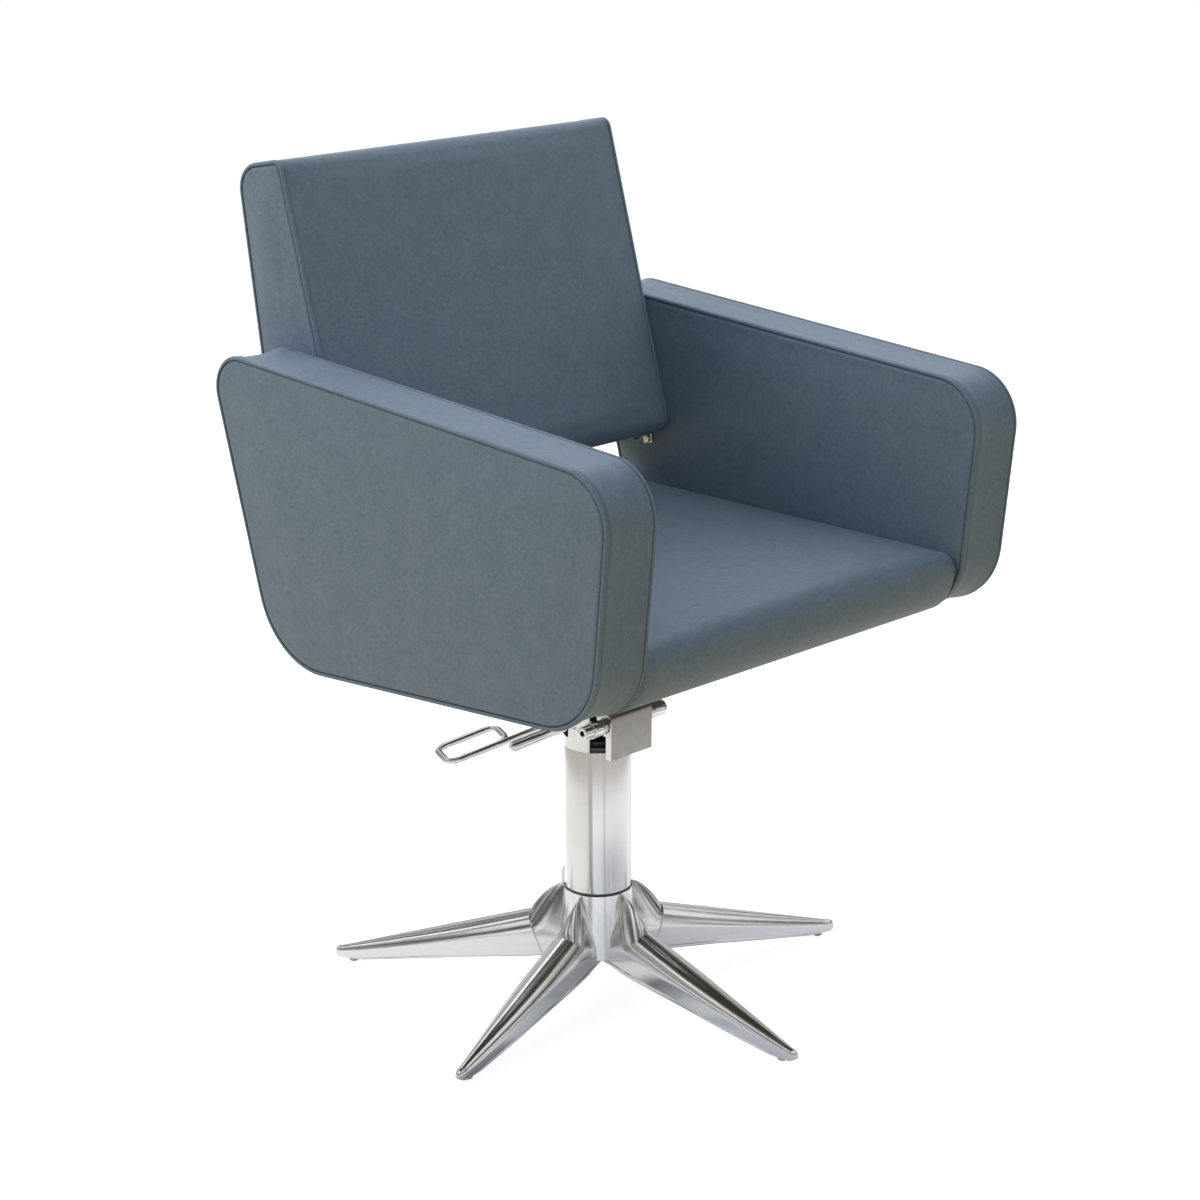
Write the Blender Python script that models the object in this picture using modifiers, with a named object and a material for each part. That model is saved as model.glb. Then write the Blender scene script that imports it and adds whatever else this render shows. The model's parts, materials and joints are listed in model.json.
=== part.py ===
"""Hairdressing chair: padded seat, arms and back on a hydraulic lift column with a five-legged cast base.

The column axis is x = y = 0 in the modelling frame, the floor is z = 0 and the chair faces -Y.
One empty carries everything and sets the column back,
so that the origin lies under the middle of the chair.
"""

import math

import bmesh
import bpy
from mathutils import Matrix, Vector

# Driving dimensions, in metres and degrees
CLEARANCE = 0.0003            # between pieces that touch
COLUMN_SETBACK = 0.0141       # column axis behind the middle of the chair's depth

# Cast base
LEG_COUNT = 5
LEG_FIRST_ANGLE = 51.96       # of the leg behind the column, from +X
LEG_REACH = 0.3130
LEG_ROOT_REACH = 0.0800       # where the leg leaves its shoulder
LEG_ROOT_WIDTH = 0.0465
LEG_TIP_WIDTH = 0.0125
LEG_ROOT_TOP = 0.0808
LEG_ROOT_BOTTOM = 0.0335
LEG_TIP_TOP = 0.0180
LEG_TIP_ROUND = 0.0100        # length of the rounded end
LEG_SIDE_BOW = 1.70           # the leg narrows faster towards its tip; 1 would be a straight taper
LEG_LIP_SHARE = 0.045         # of the width, at each lower edge
LEG_SQUARENESS = 2.1          # of the arch across the leg; 2 would be an ellipse
LEG_CREASE_LEAN = 0.0200      # the crease at the leg's root leans back to the column
LEG_WALL = 0.0060             # metal left round the hollow underside
HUB_RADIUS = 0.0396
HUB_FOOT_RADIUS = 0.0450
HUB_BOTTOM = 0.0410
HUB_TOP = 0.1185
GLIDE_HEIGHT = 0.0045
GLIDE_RADIUS = 0.0055
GLIDE_STEM_RADIUS = 0.0025
GLIDE_STEM_LENGTH = 0.0070
GLIDE_INSET = 0.0220          # of the glides' centres from the legs' ends

# Swivel and hydraulic ram
BUSH_WALL = 0.0045
BUSH_FLANGE_WIDTH = 0.0080
BUSH_FLANGE_THICKNESS = 0.0030
RAM_RADIUS = 0.0200
JOURNAL_RADIUS = 0.0165
NUT_THICKNESS = 0.0100
NUT_ACROSS_FLATS = 0.0410
WASHER_THICKNESS = 0.0025
NUT_RECESS_DEPTH = 0.0080     # the nut and washer sit up inside the hub
PISTON_HEIGHT = 0.0140
SEAL_HEIGHT = 0.0050
SEAL_DEPTH = 0.0030
LIFT_TRAVEL = 0.1300
PISTON_STOP = 0.0130          # barrel left round the ram at full height

# Lift column
RUNNING_GAP = 0.0020          # the dark line between hub and column tube
TUBE_RADIUS = 0.0380
TUBE_WALL = 0.0020
GLAND_HEIGHT = 0.0120
BARREL_WALL = 0.0055
BARREL_END = 0.0080
OIL_SPACE = 0.0020            # over the piston at the lowest height

# Pump head
HEAD_RADIUS = 0.0390
HEAD_WALL = 0.0027
HEAD_HEIGHT = 0.1515
HEAD_FLANGE_RADIUS = 0.0580
HEAD_FLANGE_THICKNESS = 0.0060
WINDOW_WIDTH = 0.0665
WINDOW_HEIGHT = 0.0600
BLOCK_HEIGHT = 0.0650         # pump block above the foot of the head
BLOCK_SPIGOT = 0.0080         # pump block below the foot of the head, inside the tube
BLOCK_FRONT = 0.0120          # flat behind the window, in front of the axis
SILL_HEIGHT = 0.0050          # rim of the block along the window's lower edge

# Pump lever and plunger
LEVER_HEADING = 25.0          # from the chair's right side towards its back
LEVER_SLOPE = 15.0            # lever's fall towards its free end
LEVER_SWING = 14.0
LEVER_PIVOT_REACH = 0.0330
LEVER_PIVOT_HEIGHT = 0.0250   # above the foot of the head
LEVER_ROD_RADIUS = 0.0060
LEVER_ROD_LENGTH = 0.0750
LEVER_NOSE = 0.0200           # inner arm, from pivot to plunger
LEVER_PIN_RADIUS = 0.0030
LEVER_BOSS_RADIUS = 0.0075
LEVER_BOSS_WIDTH = 0.0120
STIRRUP_WINDOW_LENGTH = 0.0640
STIRRUP_WINDOW_WIDTH = 0.0415
STIRRUP_BAR = 0.0080
STIRRUP_THICKNESS = 0.0065
STIRRUP_REACH = 0.1490        # from pivot to outer end
STIRRUP_TAIL_START = 0.0300   # from pivot to the start of the welded tail
LEVER_SLOT_WIDTH = 0.0160
PLUNGER_RADIUS = 0.0050
PLUNGER_LENGTH = 0.0480

# Treadle on its cross-shaft
SHAFT_FORWARD = 0.0400        # of the column axis
SHAFT_HEIGHT = 0.0360         # above the foot of the head
SHAFT_RADIUS = 0.0075
SHAFT_LENGTH = 0.1300
SHAFT_SOCKET_RADIUS = 0.0030
SHAFT_SOCKET_DEPTH = 0.0060
SHAFT_HEAD_RADIUS = 0.0090     # rounded right end, outside the treadle
SHAFT_END_ROUND = 0.0030
TREADLE_WIDTH = 0.0650
TREADLE_DROP = 0.0375         # below the shaft's axis
TREADLE_RISE = 0.0145         # above the shaft's axis
TREADLE_FRONT = 0.0130        # in front of the shaft's axis
TREADLE_PLATE = 0.0085
TREADLE_KNUCKLE = 0.0100      # behind the shaft's axis
TREADLE_ROUND = 0.0060
LUG_WIDTH = 0.0220
LUG_RADIUS = 0.0105
CRANK_WIDTH = 0.0170
CRANK_RADIUS = 0.0095
CRANK_FINGER = 0.0170
CRANK_OUTBOARD = 0.0450       # middle of the crank, beside the column's middle

# Seat
PLATE_SIDE = 0.1700
PLATE_THICKNESS = 0.0050
PLATE_CORNER = 0.0150
PLATE_BOLT_SPACING = 0.1350
PLATE_BOLT_RADIUS = 0.0040
PLATE_BOLT_HEAD = 0.0055
BOARD_THICKNESS = 0.0150
RAIL_WIDTH = 0.0220
RAIL_HEIGHT = 0.0340          # above the board
INNER_WIDTH = 0.5000          # between the arms
SEAT_SIDE_GAP = 0.0006
SEAT_SIDE_PAD = 0.0150        # cushion outside the rails
SEAT_THICKNESS = 0.0735
SEAT_BACK = 0.2000            # behind the column axis
SEAT_FRONT_ROUND = 0.0180      # the rest of the front rounds under the seat
SEAT_BACK_ROUND = 0.0160
SEAT_CROWN = 0.0080
SEAT_EDGE_PAD = 0.0450        # cushion in front of and behind the frame

# Arms; heights are from the seat's top, depths from the column axis
ARM_THICKNESS = 0.0684
ARM_RISE_BACK = 0.2290
ARM_RISE_FRONT = 0.1890
ARM_DROP_FRONT = 0.0680
ARM_DROP_BACK = 0.1000
ARM_FRONT_TOP = 0.3280
ARM_FRONT_BOTTOM = 0.3020
ARM_BACK_TOP = 0.2700
ARM_BACK_BOTTOM = 0.1740
ARM_ROUND_TOP_FRONT = 0.0600
ARM_ROUND_BOTTOM_FRONT = 0.0750
ARM_ROUND_BOTTOM_BACK = 0.0950
ARM_ROUND_TOP_BACK = 0.0380
ARM_OUTER_CROWN = 0.0040
ARM_INNER_CROWN = 0.0010
ARM_BAND_HOLLOW = 0.0020      # the band draws in between its two seams
ARM_EDGE_PAD = 0.0160         # padding round the core
ARM_FACE_PAD = 0.0150         # padding on the core's faces
ARM_BOLT_RADIUS = 0.0040
ARM_BOLT_HEAD_RADIUS = 0.0070
ARM_BOLT_HEAD = 0.0050
ARM_BOLT_GRIP = 0.0250        # of thread in the arm's core
ARM_BOLT_FRONT = 0.1500       # in front of the column axis
ARM_BOLT_BACK = 0.0900        # behind the column axis

# Back; its foot is above the seat's top and behind the column axis
BACK_SIDE_GAP = 0.0026        # to the line of each arm's inner face
BACK_FOOT_RISE = 0.0660
BACK_FOOT_SETBACK = 0.1225
BACK_HEIGHT = 0.3585
BACK_LEAN = 0.1020            # the top's setback from the foot
BACK_FOOT_DEPTH = 0.1170
BACK_TOP_DEPTH = 0.0710
BACK_FOOT_FALL = 0.0240       # fall of the underside towards the back
BACK_TOP_FALL = 0.0135
BACK_ROUND_FOOT_FRONT = 0.0180
BACK_ROUND_FOOT_BACK = 0.0300
BACK_ROUND_TOP_BACK = 0.0400
BACK_ROUND_TOP_FRONT = 0.0120
BACK_CROWN = 0.0080
BACK_SIDE_CROWN = 0.0010
BACK_PAD = 0.0260             # padding round the core
BACK_SIDE_PAD = 0.0180
BRACKET_SETBACK = 0.0385      # along the underside, from its front corner
BRACKET_WIDTH = 0.0140
BRACKET_FLANGE = 0.0340
BRACKET_DROP = 0.0125
BRACKET_METAL = 0.0025
BRACKET_SCREW_RADIUS = 0.0025
BRACKET_SCREW_HEAD_RADIUS = 0.0045
BRACKET_SCREW_HEAD = 0.0025
BRACKET_SCREW_BITE = 0.0150   # of thread in the wooden core

# Round pieces and arcs
STEPS = 40
SMALL_STEPS = 20
HOLE_STEPS = 16
ARC_STEPS = 6
SMOOTH_ANGLE = 25.0

# Heights that follow from the stack of pieces
TUBE_BOTTOM = HUB_TOP + RUNNING_GAP
BARREL_BOTTOM = TUBE_BOTTOM + GLAND_HEIGHT + CLEARANCE
RAM_TOP = BARREL_BOTTOM + LIFT_TRAVEL + PISTON_STOP
PISTON_TOP = RAM_TOP + CLEARANCE + PISTON_HEIGHT
TUBE_TOP = PISTON_TOP
BARREL_TOP = PISTON_TOP + OIL_SPACE + BARREL_END
HEAD_BOTTOM = TUBE_TOP + CLEARANCE
HEAD_TOP = HEAD_BOTTOM + HEAD_HEIGHT
PLATE_BOTTOM = HEAD_TOP + CLEARANCE
SEAT_BOTTOM = PLATE_BOTTOM + PLATE_THICKNESS + CLEARANCE
SEAT_TOP = SEAT_BOTTOM + SEAT_THICKNESS
BOLT_Z = SEAT_BOTTOM + BOARD_THICKNESS + RAIL_HEIGHT / 2

# Widths that follow
GLIDE_CIRCLE = LEG_REACH - GLIDE_INSET
BARREL_BORE = RAM_RADIUS + SEAL_DEPTH
BARREL_RADIUS = BARREL_BORE + BARREL_WALL
BLOCK_RADIUS = HEAD_RADIUS - HEAD_WALL - CLEARANCE
BUSH_RADIUS = JOURNAL_RADIUS + CLEARANCE + BUSH_WALL
ARM_INNER = INNER_WIDTH / 2
SEAT_HALF = ARM_INNER - ARM_INNER_CROWN - SEAT_SIDE_GAP
BACK_HALF = ARM_INNER - BACK_SIDE_GAP
RAIL_OUTER = SEAT_HALF - SEAT_SIDE_PAD
RAIL_INNER = RAIL_OUTER - RAIL_WIDTH
SEAT_UNDER_ROUND = SEAT_THICKNESS - SEAT_FRONT_ROUND
LEVER_DIRECTION = Vector((-math.cos(math.radians(LEVER_HEADING)), math.sin(math.radians(LEVER_HEADING)), 0))
LEVER_PIVOT = LEVER_DIRECTION * LEVER_PIVOT_REACH + Vector((0, 0, HEAD_BOTTOM + LEVER_PIVOT_HEIGHT))
SHAFT_CENTRE = Vector((0, -SHAFT_FORWARD, HEAD_BOTTOM + SHAFT_HEIGHT))

UP = Vector((0, 0, 1))
TURN_TO_X = Matrix.Rotation(math.radians(90), 4, "Y")


def clear_scene():
    for obj in list(bpy.data.objects):
        bpy.data.objects.remove(obj, do_unlink=True)


def new_collection(name):
    collection = bpy.data.collections.new(name)
    bpy.context.scene.collection.children.link(collection)
    return collection


def make_material(name, colour, roughness, metallic):
    mat = bpy.data.materials.new(name)
    mat.use_nodes = True
    shader = mat.node_tree.nodes["Principled BSDF"]
    shader.inputs["Base Color"].default_value = (*colour, 1)
    shader.inputs["Roughness"].default_value = roughness
    shader.inputs["Metallic"].default_value = metallic
    mat.diffuse_color = (*colour, 1)
    return mat


clear_scene()
PARTS = new_collection("hairdressing_chair")
CUTTERS = new_collection("cutters")

ALUMINIUM = make_material("polished_cast_aluminium", (0.80, 0.80, 0.81), 0.14, 1.0)
CHROME = make_material("chrome", (0.84, 0.84, 0.85), 0.06, 1.0)
BRUSHED = make_material("brushed_steel", (0.60, 0.59, 0.57), 0.34, 1.0)
STEEL = make_material("dark_steel", (0.10, 0.10, 0.11), 0.45, 1.0)
NICKEL = make_material("nickel_plate", (0.72, 0.70, 0.65), 0.25, 1.0)
BRONZE = make_material("bearing_bronze", (0.55, 0.40, 0.20), 0.40, 1.0)
NYLON = make_material("white_nylon", (0.70, 0.70, 0.68), 0.40, 0.0)
BLACK_PLASTIC = make_material("black_plastic", (0.02, 0.02, 0.02), 0.50, 0.0)
BLACK_RUBBER = make_material("black_rubber", (0.015, 0.015, 0.015), 0.80, 0.0)
PLYWOOD = make_material("birch_plywood", (0.62, 0.45, 0.28), 0.70, 0.0)
LEATHERETTE = make_material("slate_leatherette", (0.125, 0.165, 0.205), 0.55, 0.0)


def new_empty(name, parent=None, location=(0, 0, 0), rotation=(0, 0, 0)):
    empty = bpy.data.objects.new(name, None)
    empty.location = location
    empty.rotation_euler = rotation
    empty.parent = parent
    PARTS.objects.link(empty)
    return empty


CHAIR = new_empty("chair_frame", location=(0, COLUMN_SETBACK, 0))
SWIVEL = new_empty("swivel_axis", CHAIR)
LIFT = new_empty("lift_axis", SWIVEL)
LEVER = new_empty("lever_pivot", LIFT, LEVER_PIVOT,
                  (0, math.radians(LEVER_SLOPE), math.radians(180 - LEVER_HEADING)))
TREADLE = new_empty("treadle_pivot", LIFT, SHAFT_CENTRE)


def place(name, mesh, mat, parent, matrix=None):
    """A part with smooth round faces, in its parent's frame."""
    obj = bpy.data.objects.new(name, mesh)
    PARTS.objects.link(obj)
    obj.parent = parent
    if matrix is not None:
        obj.matrix_basis = matrix
    if mat is not None:
        mesh.materials.append(mat)
    if mesh.polygons:
        mesh.shade_smooth()
        mesh.set_sharp_from_angle(angle=math.radians(SMOOTH_ANGLE))
    return obj


def as_tool(obj):
    """Moves a shape to the cutters, for a Boolean with a part."""
    PARTS.objects.unlink(obj)
    CUTTERS.objects.link(obj)
    obj.hide_render = True
    obj.display_type = "WIRE"
    return obj


def combine(target, tool, operation):
    modifier = target.modifiers.new(tool.name, "BOOLEAN")
    modifier.operation = operation
    modifier.solver = "EXACT"
    modifier.object = as_tool(tool)


def cut(target, *tools):
    for tool in tools:
        combine(target, tool, "DIFFERENCE")


def join(target, *tools):
    for tool in tools:
        combine(target, tool, "UNION")


def mesh_from(bm, name):
    bmesh.ops.recalc_face_normals(bm, faces=bm.faces)
    mesh = bpy.data.meshes.new(name)
    bm.to_mesh(mesh)
    bm.free()
    return mesh


def box(name, low, high, mat=None, parent=CHAIR, matrix=None):
    low = Vector(low)
    high = Vector(high)
    bm = bmesh.new()
    size = Matrix.Diagonal((*(high - low), 1))
    bmesh.ops.create_cube(bm, size=1, matrix=Matrix.Translation((low + high) / 2) @ size)
    return place(name, mesh_from(bm, name), mat, parent, matrix)


def round_edges(obj, width):
    modifier = obj.modifiers.new("rounded_edges", "BEVEL")
    modifier.width = width
    modifier.segments = 2
    modifier.limit_method = "ANGLE"
    modifier.angle_limit = math.radians(SMOOTH_ANGLE)


def rod(name, radius, start, end, mat=None, parent=CHAIR, steps=HOLE_STEPS, matrix=None):
    """A cylinder between two points."""
    start = Vector(start)
    end = Vector(end)
    axis = end - start
    turn = UP.rotation_difference(axis).to_matrix().to_4x4()
    bm = bmesh.new()
    bmesh.ops.create_cone(bm, cap_ends=True, segments=steps, radius1=radius, radius2=radius,
                          depth=axis.length,
                          matrix=Matrix.Translation((start + end) / 2) @ turn)
    return place(name, mesh_from(bm, name), mat, parent, matrix)


def turned(name, profile, mat=None, parent=CHAIR, steps=STEPS, closed=False, matrix=None):
    """A profile of (radius, height) points, down the outer side, turned about the vertical axis."""
    edges = [(i, i + 1) for i in range(len(profile) - 1)]
    if closed:
        edges.append((len(profile) - 1, 0))
    mesh = bpy.data.meshes.new(name)
    mesh.from_pydata([(radius, 0, height) for radius, height in profile], edges, [])
    obj = place(name, mesh, mat, parent, matrix)
    modifier = obj.modifiers.new("turn", "SCREW")
    modifier.steps = steps
    modifier.render_steps = steps
    modifier.use_merge_vertices = True
    modifier.merge_threshold = 0.00001
    modifier.use_smooth_shade = True
    return obj


def ring(name, inner, outer, bottom, top, mat=None, parent=CHAIR, steps=STEPS):
    profile = [(inner, top), (outer, top), (outer, bottom), (inner, bottom)]
    return turned(name, profile, mat, parent, steps, closed=True)


def disc(name, radius, bottom, top, mat=None, parent=CHAIR, steps=STEPS):
    return turned(name, [(0, top), (radius, top), (radius, bottom), (0, bottom)], mat, parent, steps)


def loft(name, rings, mat=None, parent=CHAIR, matrix=None):
    """A skin through rings of equally many points, with flat ends."""
    bm = bmesh.new()
    rows = [[bm.verts.new(point) for point in points] for points in rings]
    count = len(rows[0])
    for row, after in zip(rows, rows[1:]):
        for i in range(count):
            j = (i + 1) % count
            bm.faces.new((row[i], row[j], after[j], after[i]))
    bm.faces.new(rows[0])
    bm.faces.new(rows[-1])
    return place(name, mesh_from(bm, name), mat, parent, matrix)


def corner_inset(corners, distance):
    """The corners of an outline whose straight sides move in by a distance."""
    count = len(corners)
    inset = []
    for i in range(count):
        before, here, after = (Vector(corners[(i + k) % count]) for k in (-1, 0, 1))
        along_in = (here - before).normalized()
        along_out = (after - here).normalized()
        normal_in = Vector((-along_in.y, along_in.x))
        half_turn = along_in.angle_signed(along_out) / 2
        # Corners run clockwise, so the inside lies on the right of each side
        inset.append(here - normal_in * distance + along_in * distance * math.tan(half_turn) * -1)
    return inset


def rounded(corners, radii):
    """Points of a closed outline: straight sides with an arc at each corner."""
    count = len(corners)
    points = []
    for i in range(count):
        before, here, after = (Vector(corners[(i + k) % count]) for k in (-1, 0, 1))
        to_before = (before - here).normalized()
        to_after = (after - here).normalized()
        half = to_before.angle(to_after) / 2
        centre = here + (to_before + to_after).normalized() * radii[i] / math.sin(half)
        start = here + to_before * radii[i] / math.tan(half) - centre
        sweep = start.angle_signed(here + to_after * radii[i] / math.tan(half) - centre)
        for step in range(ARC_STEPS + 1):
            angle = -sweep * step / ARC_STEPS
            turn = Matrix.Rotation(angle, 2)
            points.append(centre + turn @ start)
    return points


def outline_normals(points):
    """Outward directions along a clockwise outline."""
    count = len(points)
    normals = []
    for i in range(count):
        along = (points[(i + 1) % count] - points[i - 1]).normalized()
        normals.append(Vector((-along.y, along.x)))
    return normals


def outline_solid(name, points, x_low, x_high, mat=None, parent=CHAIR):
    """A side outline in (y, z) carried straight across the chair."""
    rings = [[(x, y, z) for y, z in points] for x in (x_low, x_high)]
    return loft(name, rings, mat, parent)


def pad(name, points, stations, mat, parent, swell=None):
    """An upholstered body: its side outline set across the chair at (x, shrink, growth) stations.

    Shrink draws the outline towards its middle, for the end panels, and growth moves it out along its
    normals by the given crown, weighted by swell(normal).
    """
    normals = outline_normals(points)
    middle = sum(points, Vector((0, 0))) / len(points)
    rings = []
    for x, shrink, growth in stations:
        row = []
        for point, normal in zip(points, normals):
            weight = swell(normal) if swell else 1.0
            grown = point + normal * growth * weight
            drawn = middle + (grown - middle) * (1 - shrink)
            row.append((x, drawn.x, drawn.y))
        rings.append(row)
    return loft(name, rings, mat, parent)


def leg_section(reach, width, top, bottom, squareness, spring, lean=0.0):
    """An arch over a slightly wider lower lip, across the leg at a distance from the column.

    Lean draws the foot of the section back towards the column.
    """
    arch_points = 12
    half = width / 2
    lip = width * LEG_LIP_SHARE
    points = [(half - lip, bottom), (half, bottom + lip), (half, bottom + 2 * lip)]
    for step in range(arch_points + 1):
        angle = math.pi * step / arch_points
        across = math.copysign(abs(math.cos(angle)) ** (2 / squareness), math.cos(angle))
        rise = (top - spring) * math.sin(angle) ** (2 / squareness)
        points.append(((half - lip) * across, spring + rise))
    points += [(-half, bottom + 2 * lip), (-half, bottom + lip), (lip - half, bottom)]
    return [(reach - lean * (top - height) / (top - bottom), across, height) for across, height in points]


def leg_taper(share):
    """(reach, width, top, bottom) at a share of the way from the leg's root to its tip."""
    foot = GLIDE_HEIGHT + CLEARANCE
    foot_reach = GLIDE_CIRCLE - GLIDE_RADIUS * 2
    tip_reach = LEG_REACH - LEG_TIP_ROUND
    reach = LEG_ROOT_REACH + (tip_reach - LEG_ROOT_REACH) * share
    width = LEG_ROOT_WIDTH + (LEG_TIP_WIDTH - LEG_ROOT_WIDTH) * share ** LEG_SIDE_BOW
    top = LEG_ROOT_TOP + (LEG_TIP_TOP - LEG_ROOT_TOP) * share
    fall = min(1.0, (reach - LEG_ROOT_REACH) / (foot_reach - LEG_ROOT_REACH))
    bottom = LEG_ROOT_BOTTOM + (foot - LEG_ROOT_BOTTOM) * fall
    return reach, width, top, bottom


def leg_rings():
    """Sections from inside the hub, down the shoulder and out to the rounded tip."""
    shoulder_rise = HUB_TOP - LEG_ROOT_TOP
    shoulder_run = LEG_ROOT_REACH - HUB_RADIUS
    spring = LEG_ROOT_BOTTOM + (LEG_ROOT_TOP - LEG_ROOT_BOTTOM) * 0.45
    foot_rise = HUB_BOTTOM - LEG_ROOT_BOTTOM
    inner_top = HUB_TOP - shoulder_rise * 0.03
    inner_bottom = LEG_ROOT_BOTTOM + foot_rise * 0.8
    rings = [leg_section(HUB_RADIUS * 0.4, LEG_ROOT_WIDTH * 0.9, inner_top, inner_bottom, 1.15, spring)]
    for run, fall, squareness in ((0.0, 0.04, 1.15), (0.14, 0.08, 1.2), (0.28, 0.15, 1.25),
                                  (0.45, 0.31, 1.37), (0.62, 0.49, 1.5), (0.82, 0.74, 1.65)):
        top = HUB_TOP - shoulder_rise * fall
        bottom = LEG_ROOT_BOTTOM + foot_rise * 0.4 * (1 - run)
        rings.append(leg_section(HUB_RADIUS + shoulder_run * run, LEG_ROOT_WIDTH * (0.94 + 0.06 * run), top,
                                 bottom, squareness, spring, LEG_CREASE_LEAN * run))
    for share, lean in ((0.0, 1.0), (0.08, 0.9), (0.3, 0.0), (0.6, 0.0), (0.82, 0.0), (1.0, 0.0)):
        reach, width, top, bottom = leg_taper(share)
        spring = bottom + (top - bottom) * 0.45
        rings.append(leg_section(reach, width, top, bottom, LEG_SQUARENESS, spring, LEG_CREASE_LEAN * lean))
    for angle in (25, 47, 66, 82):
        out = math.sin(math.radians(angle))
        narrow = math.cos(math.radians(angle))
        tip_top = bottom + (top - bottom) * (0.45 + 0.55 * narrow)
        tip_bottom = bottom + (top - bottom) * 0.40 * (1 - narrow)
        tip_spring = tip_bottom + (tip_top - tip_bottom) * 0.45
        rings.append(leg_section(reach + (LEG_REACH - reach) * out, width * narrow, tip_top, tip_bottom,
                                 LEG_SQUARENESS, tip_spring))
    return rings


def leg_hollow_rings():
    """The channel under a leg, from the hub's wall to short of the glide."""
    rings = []
    for share in (0.03, 0.33, 0.63, 0.79):
        reach, width, top, bottom = leg_taper(share)
        roof = top - LEG_WALL
        spring = bottom + (roof - bottom) * 0.45
        rings.append(leg_section(reach, width - 2 * LEG_WALL, roof, bottom - LEG_WALL, LEG_SQUARENESS,
                                 spring))
    return rings


def leg_turn(k):
    return Matrix.Rotation(math.radians(LEG_FIRST_ANGLE + 360 / LEG_COUNT * k), 4, "Z")


def build_base():
    profile = [(0, HUB_TOP), (HUB_RADIUS, HUB_TOP), (HUB_FOOT_RADIUS, HUB_BOTTOM), (0, HUB_BOTTOM)]
    base = turned("star_base", profile, ALUMINIUM)
    for k in range(LEG_COUNT):
        join(base, loft(f"leg_{k + 1}", leg_rings(), matrix=leg_turn(k)))
    for k in range(LEG_COUNT):
        cut(base, loft(f"leg_hollow_{k + 1}", leg_hollow_rings(), matrix=leg_turn(k)))
    flange_radius = BUSH_RADIUS + BUSH_FLANGE_WIDTH
    flange_depth = BUSH_FLANGE_THICKNESS + CLEARANCE
    washer_radius = NUT_ACROSS_FLATS / 2 + 2 * NUT_RECESS_DEPTH / 3
    above = HUB_TOP + NUT_THICKNESS
    recess_top = HUB_BOTTOM + NUT_RECESS_DEPTH
    bore = BUSH_RADIUS + CLEARANCE
    ledge = HUB_TOP - flange_depth
    ledge_radius = flange_radius + CLEARANCE
    recess_radius = washer_radius + CLEARANCE
    half_step = Matrix.Rotation(math.pi / STEPS, 4, "Z")
    cut(base, turned("hub_bore",
                     [(0, above), (ledge_radius, above), (ledge_radius, ledge), (bore, ledge),
                      (bore, recess_top), (recess_radius, recess_top), (recess_radius, 0), (0, 0)],
                     matrix=half_step))

    foot = GLIDE_HEIGHT + CLEARANCE
    stem_top = GLIDE_HEIGHT + GLIDE_STEM_LENGTH
    for k in range(LEG_COUNT):
        spot = leg_turn(k) @ Matrix.Translation((GLIDE_CIRCLE, 0, 0))
        socket = rod(f"glide_socket_{k + 1}", GLIDE_STEM_RADIUS + CLEARANCE, (0, 0, foot - GLIDE_HEIGHT),
                     (0, 0, stem_top + CLEARANCE), matrix=spot)
        cut(base, socket)
        edge = GLIDE_HEIGHT * 0.3
        turned(f"floor_glide_{k + 1}",
               [(0, stem_top), (GLIDE_STEM_RADIUS, stem_top), (GLIDE_STEM_RADIUS, GLIDE_HEIGHT),
                (GLIDE_RADIUS, GLIDE_HEIGHT), (GLIDE_RADIUS, edge), (GLIDE_RADIUS - edge, 0), (0, 0)],
               NYLON, steps=HOLE_STEPS, matrix=spot)

    bush_bottom = HUB_BOTTOM + NUT_RECESS_DEPTH + CLEARANCE
    bush_bore = JOURNAL_RADIUS + CLEARANCE
    under_flange = HUB_TOP - BUSH_FLANGE_THICKNESS
    turned("hub_bush",
           [(bush_bore, HUB_TOP), (flange_radius, HUB_TOP), (flange_radius, under_flange),
            (BUSH_RADIUS, under_flange), (BUSH_RADIUS, bush_bottom), (bush_bore, bush_bottom)],
           BRONZE, closed=True, steps=SMALL_STEPS)
    ring("dust_ring", flange_radius + 2 * CLEARANCE, TUBE_RADIUS - CLEARANCE, HUB_TOP + CLEARANCE,
         HUB_TOP + RUNNING_GAP - 2 * CLEARANCE, BLACK_RUBBER)


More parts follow.
